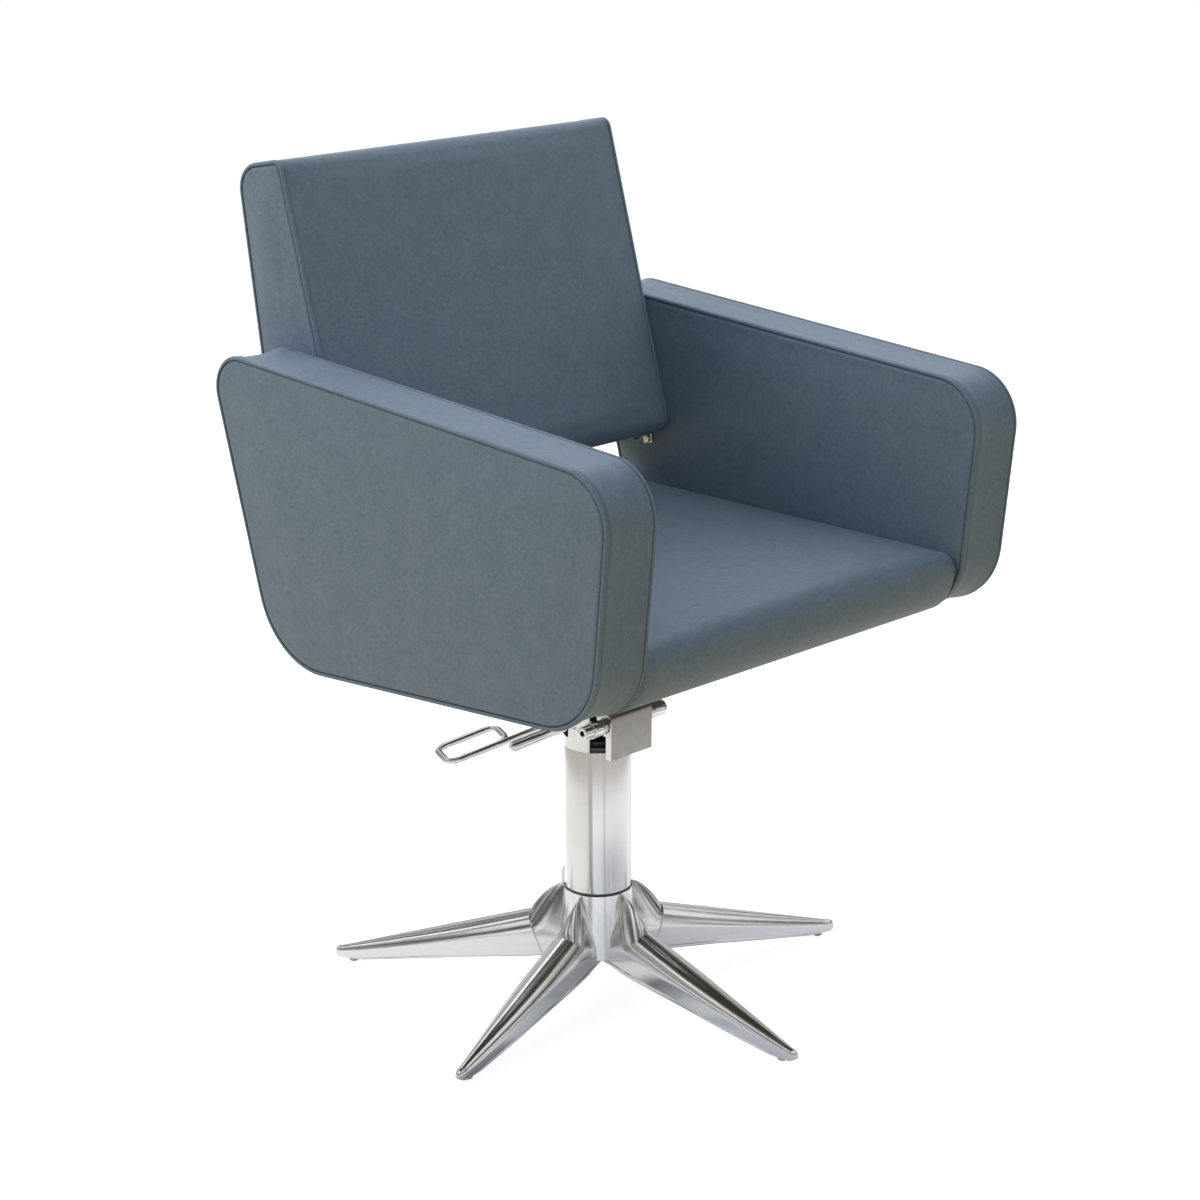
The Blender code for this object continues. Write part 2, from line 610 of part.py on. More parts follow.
def build_ram():
    shoulder = HUB_TOP + CLEARANCE
    washer_top = HUB_BOTTOM + NUT_RECESS_DEPTH - CLEARANCE
    nut_top = washer_top - WASHER_THICKNESS - CLEARANCE
    thread_end = nut_top - NUT_THICKNESS
    turned("ram_rod",
           [(0, RAM_TOP), (RAM_RADIUS, RAM_TOP), (RAM_RADIUS, shoulder), (JOURNAL_RADIUS, shoulder),
            (JOURNAL_RADIUS, thread_end), (0, thread_end)],
           CHROME, SWIVEL)
    ring("ram_washer", JOURNAL_RADIUS + CLEARANCE, NUT_ACROSS_FLATS / 2 + NUT_RECESS_DEPTH / 3,
         washer_top - WASHER_THICKNESS, washer_top, STEEL, SWIVEL, SMALL_STEPS)
    nut = rod("ram_nut", NUT_ACROSS_FLATS / math.sqrt(3), (0, 0, thread_end), (0, 0, nut_top), STEEL,
              SWIVEL, steps=6)
    cut(nut, disc("ram_nut_bore", JOURNAL_RADIUS + CLEARANCE, thread_end - NUT_THICKNESS,
                  nut_top + NUT_THICKNESS, parent=SWIVEL, steps=SMALL_STEPS))

    piston_radius = BARREL_BORE - CLEARANCE
    groove = piston_radius - SEAL_DEPTH
    foot = RAM_TOP + CLEARANCE
    seal_bottom = foot + (PISTON_HEIGHT - SEAL_HEIGHT) / 2
    seal_top = seal_bottom + SEAL_HEIGHT
    turned("ram_piston",
           [(0, PISTON_TOP), (piston_radius, PISTON_TOP), (piston_radius, seal_top), (groove, seal_top),
            (groove, seal_bottom), (piston_radius, seal_bottom), (piston_radius, foot), (0, foot)],
           BRONZE, SWIVEL, SMALL_STEPS)
    ring("piston_seal", groove + CLEARANCE, piston_radius, seal_bottom + CLEARANCE, seal_top - CLEARANCE,
         BLACK_RUBBER, SWIVEL, SMALL_STEPS)


def build_column():
    tube_bore = TUBE_RADIUS - TUBE_WALL
    ring("column_tube", tube_bore, TUBE_RADIUS, TUBE_BOTTOM, TUBE_TOP, CHROME, LIFT)
    ring("gland_ring", RAM_RADIUS + CLEARANCE, tube_bore - CLEARANCE, TUBE_BOTTOM,
         TUBE_BOTTOM + GLAND_HEIGHT, BLACK_PLASTIC, LIFT)
    inside_top = BARREL_TOP - BARREL_END
    turned("cylinder_barrel",
           [(0, BARREL_TOP), (BARREL_RADIUS, BARREL_TOP), (BARREL_RADIUS, BARREL_BOTTOM),
            (BARREL_BORE, BARREL_BOTTOM), (BARREL_BORE, inside_top), (0, inside_top)],
           STEEL, LIFT)


def lever_pocket(name, width, reach_in, reach_out, low, high):
    """A cut for the lever, in the upright plane through the lever and the column axis."""
    heading = Matrix.Rotation(math.radians(180 - LEVER_HEADING), 4, "Z")
    return box(name, (reach_in, -width / 2, low), (reach_out, width / 2, high), parent=LIFT, matrix=heading)


def lever_pin_span():
    """Half the chord that the lever's pin makes through the head."""
    return math.sqrt(HEAD_RADIUS ** 2 - LEVER_PIVOT_REACH ** 2)


def build_pump_head():
    head_bore = HEAD_RADIUS - HEAD_WALL
    flange_bottom = HEAD_TOP - HEAD_FLANGE_THICKNESS
    head = turned("pump_head",
                  [(head_bore, HEAD_TOP), (HEAD_FLANGE_RADIUS, HEAD_TOP),
                   (HEAD_FLANGE_RADIUS, flange_bottom), (HEAD_RADIUS, flange_bottom),
                   (HEAD_RADIUS, HEAD_BOTTOM), (head_bore, HEAD_BOTTOM)],
                  BRUSHED, LIFT, closed=True)
    half_window = WINDOW_WIDTH / 2
    cut(head, box("head_window", (-half_window, -2 * HEAD_RADIUS, HEAD_BOTTOM + CLEARANCE),
                  (half_window, -BLOCK_FRONT, HEAD_BOTTOM + WINDOW_HEIGHT), parent=LIFT))

    pivot_z = LEVER_PIVOT.z
    rise = math.tan(math.radians(LEVER_SLOPE)) * LEVER_NOSE
    swing = math.sin(math.radians(LEVER_SWING)) * LEVER_NOSE
    pocket_low = pivot_z - LEVER_BOSS_RADIUS - swing
    pocket_high = pivot_z + rise + swing + LEVER_ROD_RADIUS + LEVER_PIN_RADIUS
    plunger_reach = LEVER_PIVOT_REACH - LEVER_NOSE * math.cos(math.radians(LEVER_SLOPE))
    pocket_end = plunger_reach - 2 * PLUNGER_RADIUS
    cut(head, lever_pocket("head_lever_slot", LEVER_SLOT_WIDTH, BLOCK_RADIUS / 2, 2 * HEAD_RADIUS,
                           pocket_low, pocket_high))

    block_bottom = HEAD_BOTTOM - BLOCK_SPIGOT
    spigot_radius = TUBE_RADIUS - TUBE_WALL - CLEARANCE
    block_top = HEAD_BOTTOM + BLOCK_HEIGHT
    barrel_recess = BARREL_TOP + CLEARANCE
    block_radius = min(BLOCK_RADIUS, spigot_radius)
    block = turned("pump_block",
                   [(0, block_top), (block_radius, block_top), (block_radius, block_bottom),
                    (BARREL_RADIUS + CLEARANCE, block_bottom), (BARREL_RADIUS + CLEARANCE, barrel_recess),
                    (0, barrel_recess)],
                   STEEL, LIFT)
    cut(block, box("block_front_cut", (-HEAD_RADIUS, -2 * HEAD_RADIUS, HEAD_BOTTOM + SILL_HEIGHT),
                   (HEAD_RADIUS, -BLOCK_FRONT, block_top + BLOCK_SPIGOT), parent=LIFT))
    half_lug = LUG_WIDTH / 2
    lug_low = SHAFT_CENTRE - Vector((half_lug, 0, LUG_RADIUS))
    lug_high = Vector((half_lug, -BLOCK_FRONT / 2, SHAFT_CENTRE.z + LUG_RADIUS))
    lug_side = Vector((half_lug, 0, 0))
    join(block,
         box("shaft_lug", lug_low, lug_high, parent=LIFT),
         rod("shaft_lug_eye", LUG_RADIUS, SHAFT_CENTRE - lug_side, SHAFT_CENTRE + lug_side, parent=LIFT,
             steps=SMALL_STEPS))
    cut(block,
        rod("shaft_bore", SHAFT_RADIUS + CLEARANCE, SHAFT_CENTRE - 2 * lug_side,
            SHAFT_CENTRE + 2 * lug_side, parent=LIFT, steps=SMALL_STEPS),
        lever_pocket("block_lever_slot", LEVER_SLOT_WIDTH, pocket_end, 2 * HEAD_RADIUS, pocket_low,
                     pocket_high))
    plunger_spot = LEVER_DIRECTION * plunger_reach
    cut(block, rod("plunger_bore", PLUNGER_RADIUS + CLEARANCE, plunger_spot + UP * pocket_low,
                   plunger_spot + UP * (block_top + BLOCK_SPIGOT), parent=LIFT))

    along = Vector((0, lever_pin_span(), 0))
    for body in (head, block):
        cut(body, rod(f"{body.name}_pin_hole", LEVER_PIN_RADIUS + CLEARANCE, -2 * along, 2 * along,
                      parent=LEVER))
    rod("lever_pin", LEVER_PIN_RADIUS, -along, along, CHROME, LEVER)

    nose_top = pivot_z + LEVER_NOSE * math.sin(math.radians(LEVER_SLOPE)) + LEVER_ROD_RADIUS
    plunger_foot = nose_top + CLEARANCE
    axis = new_empty("plunger_axis", LIFT, plunger_spot)
    rod("pump_plunger", PLUNGER_RADIUS, (0, 0, plunger_foot), (0, 0, plunger_foot + PLUNGER_LENGTH), CHROME,
        axis)


def build_lever():
    """Lever pieces lie along the lever's own x axis, with the pivot pin on its y axis."""
    half_boss = LEVER_BOSS_WIDTH / 2
    dome = [(LEVER_ROD_RADIUS * math.sin(math.radians(a)),
             LEVER_ROD_RADIUS * (1 - math.cos(math.radians(a))))
            for a in (0, 30, 60, 90)]
    profile = [(radius, LEVER_ROD_LENGTH - depth) for radius, depth in dome]
    profile += [(radius, depth - LEVER_NOSE - LEVER_ROD_RADIUS) for radius, depth in reversed(dome)]
    lever = turned("lever_rod", profile, CHROME, LEVER, HOLE_STEPS, matrix=TURN_TO_X)
    join(lever, rod("lever_boss", LEVER_BOSS_RADIUS, (0, -half_boss, 0), (0, half_boss, 0), parent=LEVER,
                    steps=SMALL_STEPS))
    cut(lever, rod("lever_eye", LEVER_PIN_RADIUS + CLEARANCE, (0, -2 * half_boss, 0), (0, 2 * half_boss, 0),
                   parent=LEVER))

    half_bar = STIRRUP_BAR / 2
    low = LEVER_ROD_RADIUS + CLEARANCE
    high = low + STIRRUP_THICKNESS
    outer_start = STIRRUP_REACH - STIRRUP_WINDOW_LENGTH - 2 * STIRRUP_BAR
    far_side = -half_bar - STIRRUP_WINDOW_WIDTH - STIRRUP_BAR
    outer = [(outer_start, half_bar), (STIRRUP_REACH, half_bar),
             (STIRRUP_REACH, far_side), (outer_start, far_side)]
    inner = corner_inset(outer, STIRRUP_BAR)
    outer_round = 2.2 * STIRRUP_BAR
    stirrup = plan_solid("lever_stirrup", rounded(outer, [outer_round] * 4), low, high, CHROME)
    cut(stirrup, plan_solid("stirrup_window", rounded(inner, [outer_round - STIRRUP_BAR] * 4), 0, 2 * high))
    join(stirrup, box("stirrup_tail", (STIRRUP_TAIL_START, -half_bar, low),
                      (outer_start + 2 * outer_round, half_bar, high), parent=LEVER))
    round_edges(stirrup, STIRRUP_THICKNESS / 5)


def plan_solid(name, points, low, high, mat=None):
    """An outline in the lever's own plan, between two heights."""
    rings = [[(x, y, z) for x, y in points] for z in (low, high)]
    return loft(name, rings, mat, LEVER)


def build_treadle():
    """Treadle pieces lie about the cross-shaft's axis."""
    half = SHAFT_LENGTH / 2
    half_width = TREADLE_WIDTH / 2
    head_start = half_width + 3 * CLEARANCE
    turned("cross_shaft",
           [(0, half), (SHAFT_HEAD_RADIUS - SHAFT_END_ROUND, half),
            (SHAFT_HEAD_RADIUS, half - SHAFT_END_ROUND),
            (SHAFT_HEAD_RADIUS, head_start), (SHAFT_RADIUS, head_start), (SHAFT_RADIUS, -half),
            (SHAFT_SOCKET_RADIUS, -half), (SHAFT_SOCKET_RADIUS, SHAFT_SOCKET_DEPTH - half),
            (0, SHAFT_SOCKET_DEPTH - half)],
           CHROME, TREADLE, SMALL_STEPS, matrix=TURN_TO_X)

    plate_back = TREADLE_PLATE - TREADLE_FRONT
    knuckle_foot = -LUG_RADIUS - CLEARANCE
    corners = [(-TREADLE_FRONT, -TREADLE_DROP), (-TREADLE_FRONT, TREADLE_RISE),
               (TREADLE_KNUCKLE, TREADLE_RISE), (TREADLE_KNUCKLE, knuckle_foot),
               (plate_back, knuckle_foot), (plate_back, -TREADLE_DROP)]
    edge = TREADLE_PLATE / 8
    rounds = [edge, TREADLE_ROUND, TREADLE_ROUND, edge, edge, edge]
    treadle = outline_solid("treadle", rounded(corners, rounds), -half_width, half_width, BRUSHED, TREADLE)
    half_notch = LUG_WIDTH / 2 + 2 * CLEARANCE
    notch = LUG_RADIUS + 2 * CLEARANCE
    side = Vector((half_width, 0, 0))
    cut(treadle,
        rod("treadle_bore", SHAFT_RADIUS + CLEARANCE, -2 * side, 2 * side, parent=TREADLE,
            steps=SMALL_STEPS),
        rod("treadle_notch_eye", notch, (-half_notch, 0, 0), (half_notch, 0, 0), parent=TREADLE,
            steps=SMALL_STEPS),
        box("treadle_notch", (-half_notch, 0, -2 * notch), (half_notch, 2 * TREADLE_KNUCKLE, notch * 0.999),
            parent=TREADLE))

    half_crank = CRANK_WIDTH / 2
    crank = rod("shaft_crank", CRANK_RADIUS, (-CRANK_OUTBOARD - half_crank, 0, 0),
                (-CRANK_OUTBOARD + half_crank, 0, 0), CHROME, TREADLE, steps=SMALL_STEPS)
    join(crank, box("crank_finger", (-CRANK_OUTBOARD, 0, -CRANK_RADIUS * 0.9),
                    (-CRANK_OUTBOARD + half_crank * 0.9, CRANK_FINGER, -CRANK_RADIUS * 0.1),
                    parent=TREADLE))
    cut(crank, rod("crank_bore", SHAFT_RADIUS + CLEARANCE, (-2 * CRANK_OUTBOARD, 0, 0), (0, 0, 0),
                   parent=TREADLE, steps=SMALL_STEPS))


def arm_corners():
    """Top back, top front, bottom front and bottom back of an arm, in (y, z)."""
    return [(ARM_BACK_TOP, SEAT_TOP + ARM_RISE_BACK), (ARM_BACK_BOTTOM, SEAT_TOP - ARM_DROP_BACK),
            (-ARM_FRONT_BOTTOM, SEAT_TOP - ARM_DROP_FRONT), (-ARM_FRONT_TOP, SEAT_TOP + ARM_RISE_FRONT)]


def arm_front_at(height):
    """The arms' front line at a height, which the seat's front follows."""
    top = SEAT_TOP + ARM_RISE_FRONT
    bottom = SEAT_TOP - ARM_DROP_FRONT
    return -ARM_FRONT_BOTTOM + (ARM_FRONT_BOTTOM - ARM_FRONT_TOP) * (height - bottom) / (top - bottom)


def seat_bolt_places():
    return [(side, y) for side in (-1, 1) for y in (-ARM_BOLT_FRONT, ARM_BOLT_BACK)]


def build_seat():
    half_plate = PLATE_SIDE / 2
    corners = [(-half_plate, half_plate), (half_plate, half_plate),
               (half_plate, -half_plate), (-half_plate, -half_plate)]
    points = rounded(corners, [PLATE_CORNER] * 4)
    plate_top = PLATE_BOTTOM + PLATE_THICKNESS
    plate = loft("mounting_plate", [[(x, y, z) for x, y in points] for z in (PLATE_BOTTOM, plate_top)],
                 STEEL, LIFT)

    front = arm_front_at(SEAT_BOTTOM) + SEAT_EDGE_PAD + SEAT_UNDER_ROUND
    back = SEAT_BACK - SEAT_EDGE_PAD
    board_top = SEAT_BOTTOM + BOARD_THICKNESS
    rail_top = board_top + RAIL_HEIGHT
    frame = box("seat_frame", (-RAIL_OUTER, front, SEAT_BOTTOM), (RAIL_OUTER, back, board_top), PLYWOOD,
                LIFT)
    seat = seat_cushion()
    grow = Vector((CLEARANCE, CLEARANCE, CLEARANCE))
    below = Vector((0, 0, BOARD_THICKNESS))
    cut(seat, box("frame_recess", Vector((-RAIL_OUTER, front, SEAT_BOTTOM)) - grow - below,
                  Vector((RAIL_OUTER, back, board_top)) + grow, parent=LIFT))
    for side, word in ((-1, "right"), (1, "left")):
        low_x, high_x = sorted((side * RAIL_INNER, side * RAIL_OUTER))
        join(frame, box(f"rail_{word}", (low_x, front, board_top - BOARD_THICKNESS / 2),
                        (high_x, back, rail_top), parent=LIFT))
        cut(seat, box(f"rail_recess_{word}", Vector((low_x, front, SEAT_BOTTOM)) - grow - below / 2,
                      Vector((high_x, back, rail_top)) + grow, parent=LIFT))

    bolt_head_low = PLATE_BOTTOM - CLEARANCE - PLATE_BOLT_HEAD
    bolt_top = board_top - BOARD_THICKNESS / 4
    head_foot = (0, 0, bolt_head_low)
    head_middle = (0, 0, bolt_head_low + PLATE_BOLT_HEAD / 2)
    for number, (sx, sy) in enumerate(((-1, -1), (1, -1), (1, 1), (-1, 1)), 1):
        spot = Matrix.Translation((sx * PLATE_BOLT_SPACING / 2, sy * PLATE_BOLT_SPACING / 2, 0))
        for body in (plate, frame):
            cut(body, rod(f"{body.name}_hole_{number}", PLATE_BOLT_RADIUS + CLEARANCE, head_foot,
                          (0, 0, bolt_top + CLEARANCE), parent=LIFT, matrix=spot))
        bolt = rod(f"plate_bolt_{number}", PLATE_BOLT_RADIUS * 1.85, head_foot,
                   (0, 0, PLATE_BOTTOM - CLEARANCE), STEEL, LIFT, steps=6, matrix=spot)
        join(bolt, rod(f"plate_bolt_shank_{number}", PLATE_BOLT_RADIUS, head_middle, (0, 0, bolt_top),
                       parent=LIFT, matrix=spot))

    for number, (side, y) in enumerate(seat_bolt_places(), 1):
        head_in = RAIL_INNER - CLEARANCE - ARM_BOLT_HEAD
        cut(frame, rod(f"rail_hole_{number}", ARM_BOLT_RADIUS + CLEARANCE, (side * head_in, y, BOLT_Z),
                       (side * 2 * RAIL_OUTER, y, BOLT_Z), parent=LIFT))
        cut(seat,
            rod(f"seat_bolt_hole_{number}", ARM_BOLT_RADIUS + CLEARANCE, (side * RAIL_INNER, y, BOLT_Z),
                (side * 2 * SEAT_HALF, y, BOLT_Z), parent=LIFT),
            rod(f"seat_bolt_pocket_{number}", ARM_BOLT_HEAD_RADIUS + CLEARANCE,
                (side * (head_in - CLEARANCE), y, BOLT_Z),
                (side * (RAIL_INNER + RAIL_WIDTH / 2), y, BOLT_Z), parent=LIFT))
        tip = ARM_INNER + ARM_FACE_PAD + ARM_BOLT_GRIP
        bolt = rod(f"arm_bolt_{number}", ARM_BOLT_HEAD_RADIUS, (side * head_in, y, BOLT_Z),
                   (side * (RAIL_INNER - CLEARANCE), y, BOLT_Z), STEEL, LIFT, steps=HOLE_STEPS)
        shank_start = side * (head_in + ARM_BOLT_HEAD / 2)
        join(bolt, rod(f"arm_bolt_shank_{number}", ARM_BOLT_RADIUS, (shank_start, y, BOLT_Z),
                       (side * tip, y, BOLT_Z), parent=LIFT))


def seat_cushion():
    corners = [(SEAT_BACK, SEAT_TOP), (SEAT_BACK, SEAT_BOTTOM), (arm_front_at(SEAT_BOTTOM), SEAT_BOTTOM),
               (arm_front_at(SEAT_TOP), SEAT_TOP)]
    points = rounded(corners, [SEAT_BACK_ROUND, SEAT_BACK_ROUND, SEAT_UNDER_ROUND, SEAT_FRONT_ROUND])

    def swell(normal):
        return max(0.0, normal.y) + 0.4 * max(0.0, -normal.x) ** 3

    return pad("seat_cushion", points, crowned_stations(SEAT_HALF, SEAT_CROWN, 0.0), LEATHERETTE, LIFT,
               swell)


def crowned_stations(half, crown, side_crown):
    """Stations across a wide cushion: crowned in the middle, drawn in at its side panels."""
    shares = (0.975, 0.9, 0.7, 0.4, 0.0)
    rise = [(share, crown * (1 - share ** 2) ** 0.6) for share in shares]
    side = [(half + side_crown, 0.75, 0.0), (half + side_crown * 0.7, 0.35, 0.0), (half, 0.012, 0.0)]
    right = [(-x, shrink, growth) for x, shrink, growth in side]
    right += [(-half * share, 0.0, growth) for share, growth in rise]
    left = [(-x, shrink, growth) for x, shrink, growth in reversed(right[:-1])]
    return right + left


def build_arms():
    corners = arm_corners()
    rounds = [ARM_ROUND_TOP_BACK, ARM_ROUND_BOTTOM_BACK, ARM_ROUND_BOTTOM_FRONT, ARM_ROUND_TOP_FRONT]
    outline = rounded(corners, rounds)
    core_outline = rounded(corner_inset(corners, ARM_EDGE_PAD), [r - ARM_EDGE_PAD for r in rounds])
    room_inset = ARM_EDGE_PAD - CLEARANCE
    room_outline = rounded(corner_inset(corners, room_inset), [r - room_inset for r in rounds])
    outer = ARM_INNER + ARM_THICKNESS
    core_in = ARM_INNER + ARM_FACE_PAD
    core_out = outer - ARM_FACE_PAD
    middle = (ARM_INNER + outer) / 2
    edge = ARM_THICKNESS * 0.06
    stations = [(ARM_INNER - ARM_INNER_CROWN, 0.7, 0), (ARM_INNER - ARM_INNER_CROWN * 0.8, 0.35, 0),
                (ARM_INNER, 0.015, 0), (ARM_INNER + edge, 0, 0), (middle, 0, -ARM_BAND_HOLLOW),
                (outer - edge, 0, 0), (outer, 0.015, 0),
                (outer + ARM_OUTER_CROWN * 0.75, 0.35, 0), (outer + ARM_OUTER_CROWN, 0.7, 0)]
    for side, word in ((-1, "right"), (1, "left")):
        pad_obj = pad(f"arm_pad_{word}", outline, [(side * x, s, g) for x, s, g in stations], LEATHERETTE,
                      LIFT)
        core = outline_solid(f"arm_core_{word}", core_outline, side * core_in, side * core_out, PLYWOOD,
                             LIFT)
        cut(pad_obj, outline_solid(f"core_room_{word}", room_outline, side * (core_in - CLEARANCE),
                                   side * (core_out + CLEARANCE), parent=LIFT))
        for number, (bolt_side, y) in enumerate(seat_bolt_places(), 1):
            if bolt_side != side:
                continue
            tip = ARM_INNER + ARM_FACE_PAD + ARM_BOLT_GRIP + CLEARANCE
            for body in (pad_obj, core):
                cut(body, rod(f"{body.name}_bolt_hole_{number}", ARM_BOLT_RADIUS + CLEARANCE,
                              (side * RAIL_OUTER, y, BOLT_Z), (side * tip, y, BOLT_Z), parent=LIFT))
        screw_hole = BRACKET_SCREW_RADIUS + CLEARANCE
        foot, bite = bracket_screw_line()
        for body in (pad_obj, core):
            cut(body, rod(f"{body.name}_bracket_hole", screw_hole, (side * RAIL_OUTER, foot.x, foot.y),
                          (side * (bite + CLEARANCE), foot.x, foot.y), parent=LIFT))


def back_corners():
    """Top front, top back, bottom back and bottom front of the back, in (y, z)."""
    foot = SEAT_TOP + BACK_FOOT_RISE
    top = foot + BACK_HEIGHT
    top_front = BACK_FOOT_SETBACK + BACK_LEAN
    return [(top_front, top), (top_front + BACK_TOP_DEPTH, top - BACK_TOP_FALL),
            (BACK_FOOT_SETBACK + BACK_FOOT_DEPTH, foot - BACK_FOOT_FALL), (BACK_FOOT_SETBACK, foot)]


def underside_frame():
    """The brackets' place on the back's underside, with the directions along it and down from it."""
    corners = back_corners()
    front = Vector(corners[3])
    along = (Vector(corners[2]) - front).normalized()
    down = Vector((along.y, -along.x))
    return front + along * BRACKET_SETBACK, along, down


def bracket_screw_line():
    """Where the bracket's screw into the arm sits, in (y, z), and how far out it reaches in x."""
    spot, along, down = underside_frame()
    centre = spot + down * (CLEARANCE + BRACKET_METAL + (BRACKET_DROP - BRACKET_METAL) / 2)
    return centre, ARM_INNER + ARM_FACE_PAD + BRACKET_SCREW_BITE


def build_back():
    corners = back_corners()
    rounds = [BACK_ROUND_TOP_FRONT, BACK_ROUND_TOP_BACK, BACK_ROUND_FOOT_BACK, BACK_ROUND_FOOT_FRONT]
    outline = rounded(corners, rounds)

    def swell(normal):
        return max(0.0, -normal.x) ** 3 + 0.45 * max(0.0, normal.x) ** 3 + 0.3 * max(0.0, normal.y) ** 3

    stations = crowned_stations(BACK_HALF - BACK_SIDE_CROWN, BACK_CROWN, BACK_SIDE_CROWN)
    back = pad("back_pad", outline, stations, LEATHERETTE, LIFT, swell)
    core_half = BACK_HALF - BACK_SIDE_PAD
    core_round = BACK_ROUND_FOOT_FRONT / 3
    core_points = rounded(corner_inset(corners, BACK_PAD), [core_round] * 4)
    room_points = rounded(corner_inset(corners, BACK_PAD - CLEARANCE), [core_round] * 4)
    core = outline_solid("back_core", core_points, -core_half, core_half, PLYWOOD, LIFT)
    cut(back, outline_solid("back_core_room", room_points, -core_half - CLEARANCE, core_half + CLEARANCE,
                            parent=LIFT))

    spot, along, down = underside_frame()
    screw_centre, screw_tip = bracket_screw_line()
    web_out = ARM_INNER - ARM_INNER_CROWN - CLEARANCE
    web_in = web_out - BRACKET_METAL
    flange_in = web_out - BRACKET_FLANGE
    flange_screw = flange_in + BRACKET_FLANGE * 0.35
    for side, word in ((-1, "right"), (1, "left")):
        # The bracket's frame: x across the chair, y along the underside, z square to it and up
        matrix = Matrix(((1, 0, 0, 0), (0, along.x, -down.x, spot.x), (0, along.y, -down.y, spot.y),
                         (0, 0, 0, 1)))
        top = -CLEARANCE
        low_x, high_x = sorted((side * flange_in, side * web_out))
        bracket = box(f"back_bracket_{word}", (low_x, -BRACKET_WIDTH / 2, top - BRACKET_METAL),
                      (high_x, BRACKET_WIDTH / 2, top), NICKEL, LIFT, matrix=matrix)
        low_x, high_x = sorted((side * web_in, side * web_out))
        join(bracket, box(f"bracket_web_{word}", (low_x, -BRACKET_WIDTH / 2, top - BRACKET_DROP),
                          (high_x, BRACKET_WIDTH / 2, top - BRACKET_METAL / 2), parent=LIFT, matrix=matrix))
        hole = BRACKET_SCREW_RADIUS + CLEARANCE
        web_screw = Vector((0, screw_centre.x, screw_centre.y))
        across = Vector((side, 0, 0))
        cut(bracket, rod(f"web_hole_{word}", hole, web_screw + across * flange_in,
                         web_screw + across * screw_tip, parent=LIFT))
        head_low = web_in - CLEARANCE - BRACKET_SCREW_HEAD
        screw = rod(f"arm_screw_{word}", BRACKET_SCREW_HEAD_RADIUS, web_screw + across * head_low,
                    web_screw + across * (web_in - CLEARANCE), NICKEL, LIFT)
        join(screw, rod(f"arm_screw_shank_{word}", BRACKET_SCREW_RADIUS,
                        web_screw + across * (head_low + BRACKET_SCREW_HEAD / 2),
                        web_screw + across * screw_tip, parent=LIFT))

        spot_x = side * flange_screw
        screw_top = BACK_PAD + BRACKET_SCREW_BITE
        head_top = top - BRACKET_METAL - CLEARANCE
        for body in (bracket, back, core):
            cut(body, rod(f"{body.name}_screw_hole_{word}", hole, (spot_x, 0, -BRACKET_DROP),
                          (spot_x, 0, screw_top + CLEARANCE), parent=LIFT, matrix=matrix))
        up_screw = rod(f"back_screw_{word}", BRACKET_SCREW_HEAD_RADIUS,
                       (spot_x, 0, head_top - BRACKET_SCREW_HEAD), (spot_x, 0, head_top), NICKEL, LIFT,
                       matrix=matrix)
        join(up_screw, rod(f"back_screw_shank_{word}", BRACKET_SCREW_RADIUS,
                           (spot_x, 0, head_top - BRACKET_SCREW_HEAD / 2), (spot_x, 0, screw_top),
                           parent=LIFT, matrix=matrix))


build_base()
build_ram()
build_column()
build_pump_head()
build_lever()
build_treadle()
build_seat()
build_arms()
build_back()
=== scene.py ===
import json
import math

import bmesh
import bpy
import numpy as np
from mathutils import Euler, Matrix, Vector, kdtree, noise

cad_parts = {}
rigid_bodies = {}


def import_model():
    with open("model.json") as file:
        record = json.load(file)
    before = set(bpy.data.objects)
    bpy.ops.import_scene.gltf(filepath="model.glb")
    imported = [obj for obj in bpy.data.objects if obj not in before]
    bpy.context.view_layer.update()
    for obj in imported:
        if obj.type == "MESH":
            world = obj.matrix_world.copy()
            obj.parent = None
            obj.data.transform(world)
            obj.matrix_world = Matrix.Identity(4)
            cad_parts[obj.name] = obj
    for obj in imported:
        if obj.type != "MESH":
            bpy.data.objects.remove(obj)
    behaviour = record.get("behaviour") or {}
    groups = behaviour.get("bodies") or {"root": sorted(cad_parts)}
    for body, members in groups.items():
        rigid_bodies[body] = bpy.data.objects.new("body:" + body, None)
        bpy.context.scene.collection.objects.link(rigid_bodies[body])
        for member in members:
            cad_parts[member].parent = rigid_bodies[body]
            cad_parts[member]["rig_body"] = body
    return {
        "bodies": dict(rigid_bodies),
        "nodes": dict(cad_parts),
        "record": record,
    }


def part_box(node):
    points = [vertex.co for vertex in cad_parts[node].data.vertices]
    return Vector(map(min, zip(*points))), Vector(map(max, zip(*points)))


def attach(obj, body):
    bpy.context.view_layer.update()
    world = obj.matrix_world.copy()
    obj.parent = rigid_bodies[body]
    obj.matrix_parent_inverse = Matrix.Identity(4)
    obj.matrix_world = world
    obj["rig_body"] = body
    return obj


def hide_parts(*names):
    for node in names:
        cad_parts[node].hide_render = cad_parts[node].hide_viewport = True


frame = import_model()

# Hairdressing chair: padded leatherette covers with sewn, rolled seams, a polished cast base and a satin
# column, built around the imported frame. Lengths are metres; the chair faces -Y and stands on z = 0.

KEPT = set(frame["bodies"].values()) | set(frame["nodes"].values())
for spare in [o for o in bpy.data.objects if o not in KEPT]:
    bpy.data.objects.remove(spare, do_unlink=True)
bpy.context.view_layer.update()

# Places shared with the frame
CLEARANCE = 0.0003            # between pieces that touch
COLUMN_Y = 0.0141             # column axis behind the origin
SEAT_THICKNESS = 0.0735
SEAT_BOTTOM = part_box("mounting_plate")[1].z + CLEARANCE
SEAT_TOP = SEAT_BOTTOM + SEAT_THICKNESS
ARM_INNER = 0.2500
ARM_OUTER = 0.3184
BACK_EDGE = 0.2476
SEAT_EDGE = 0.2484
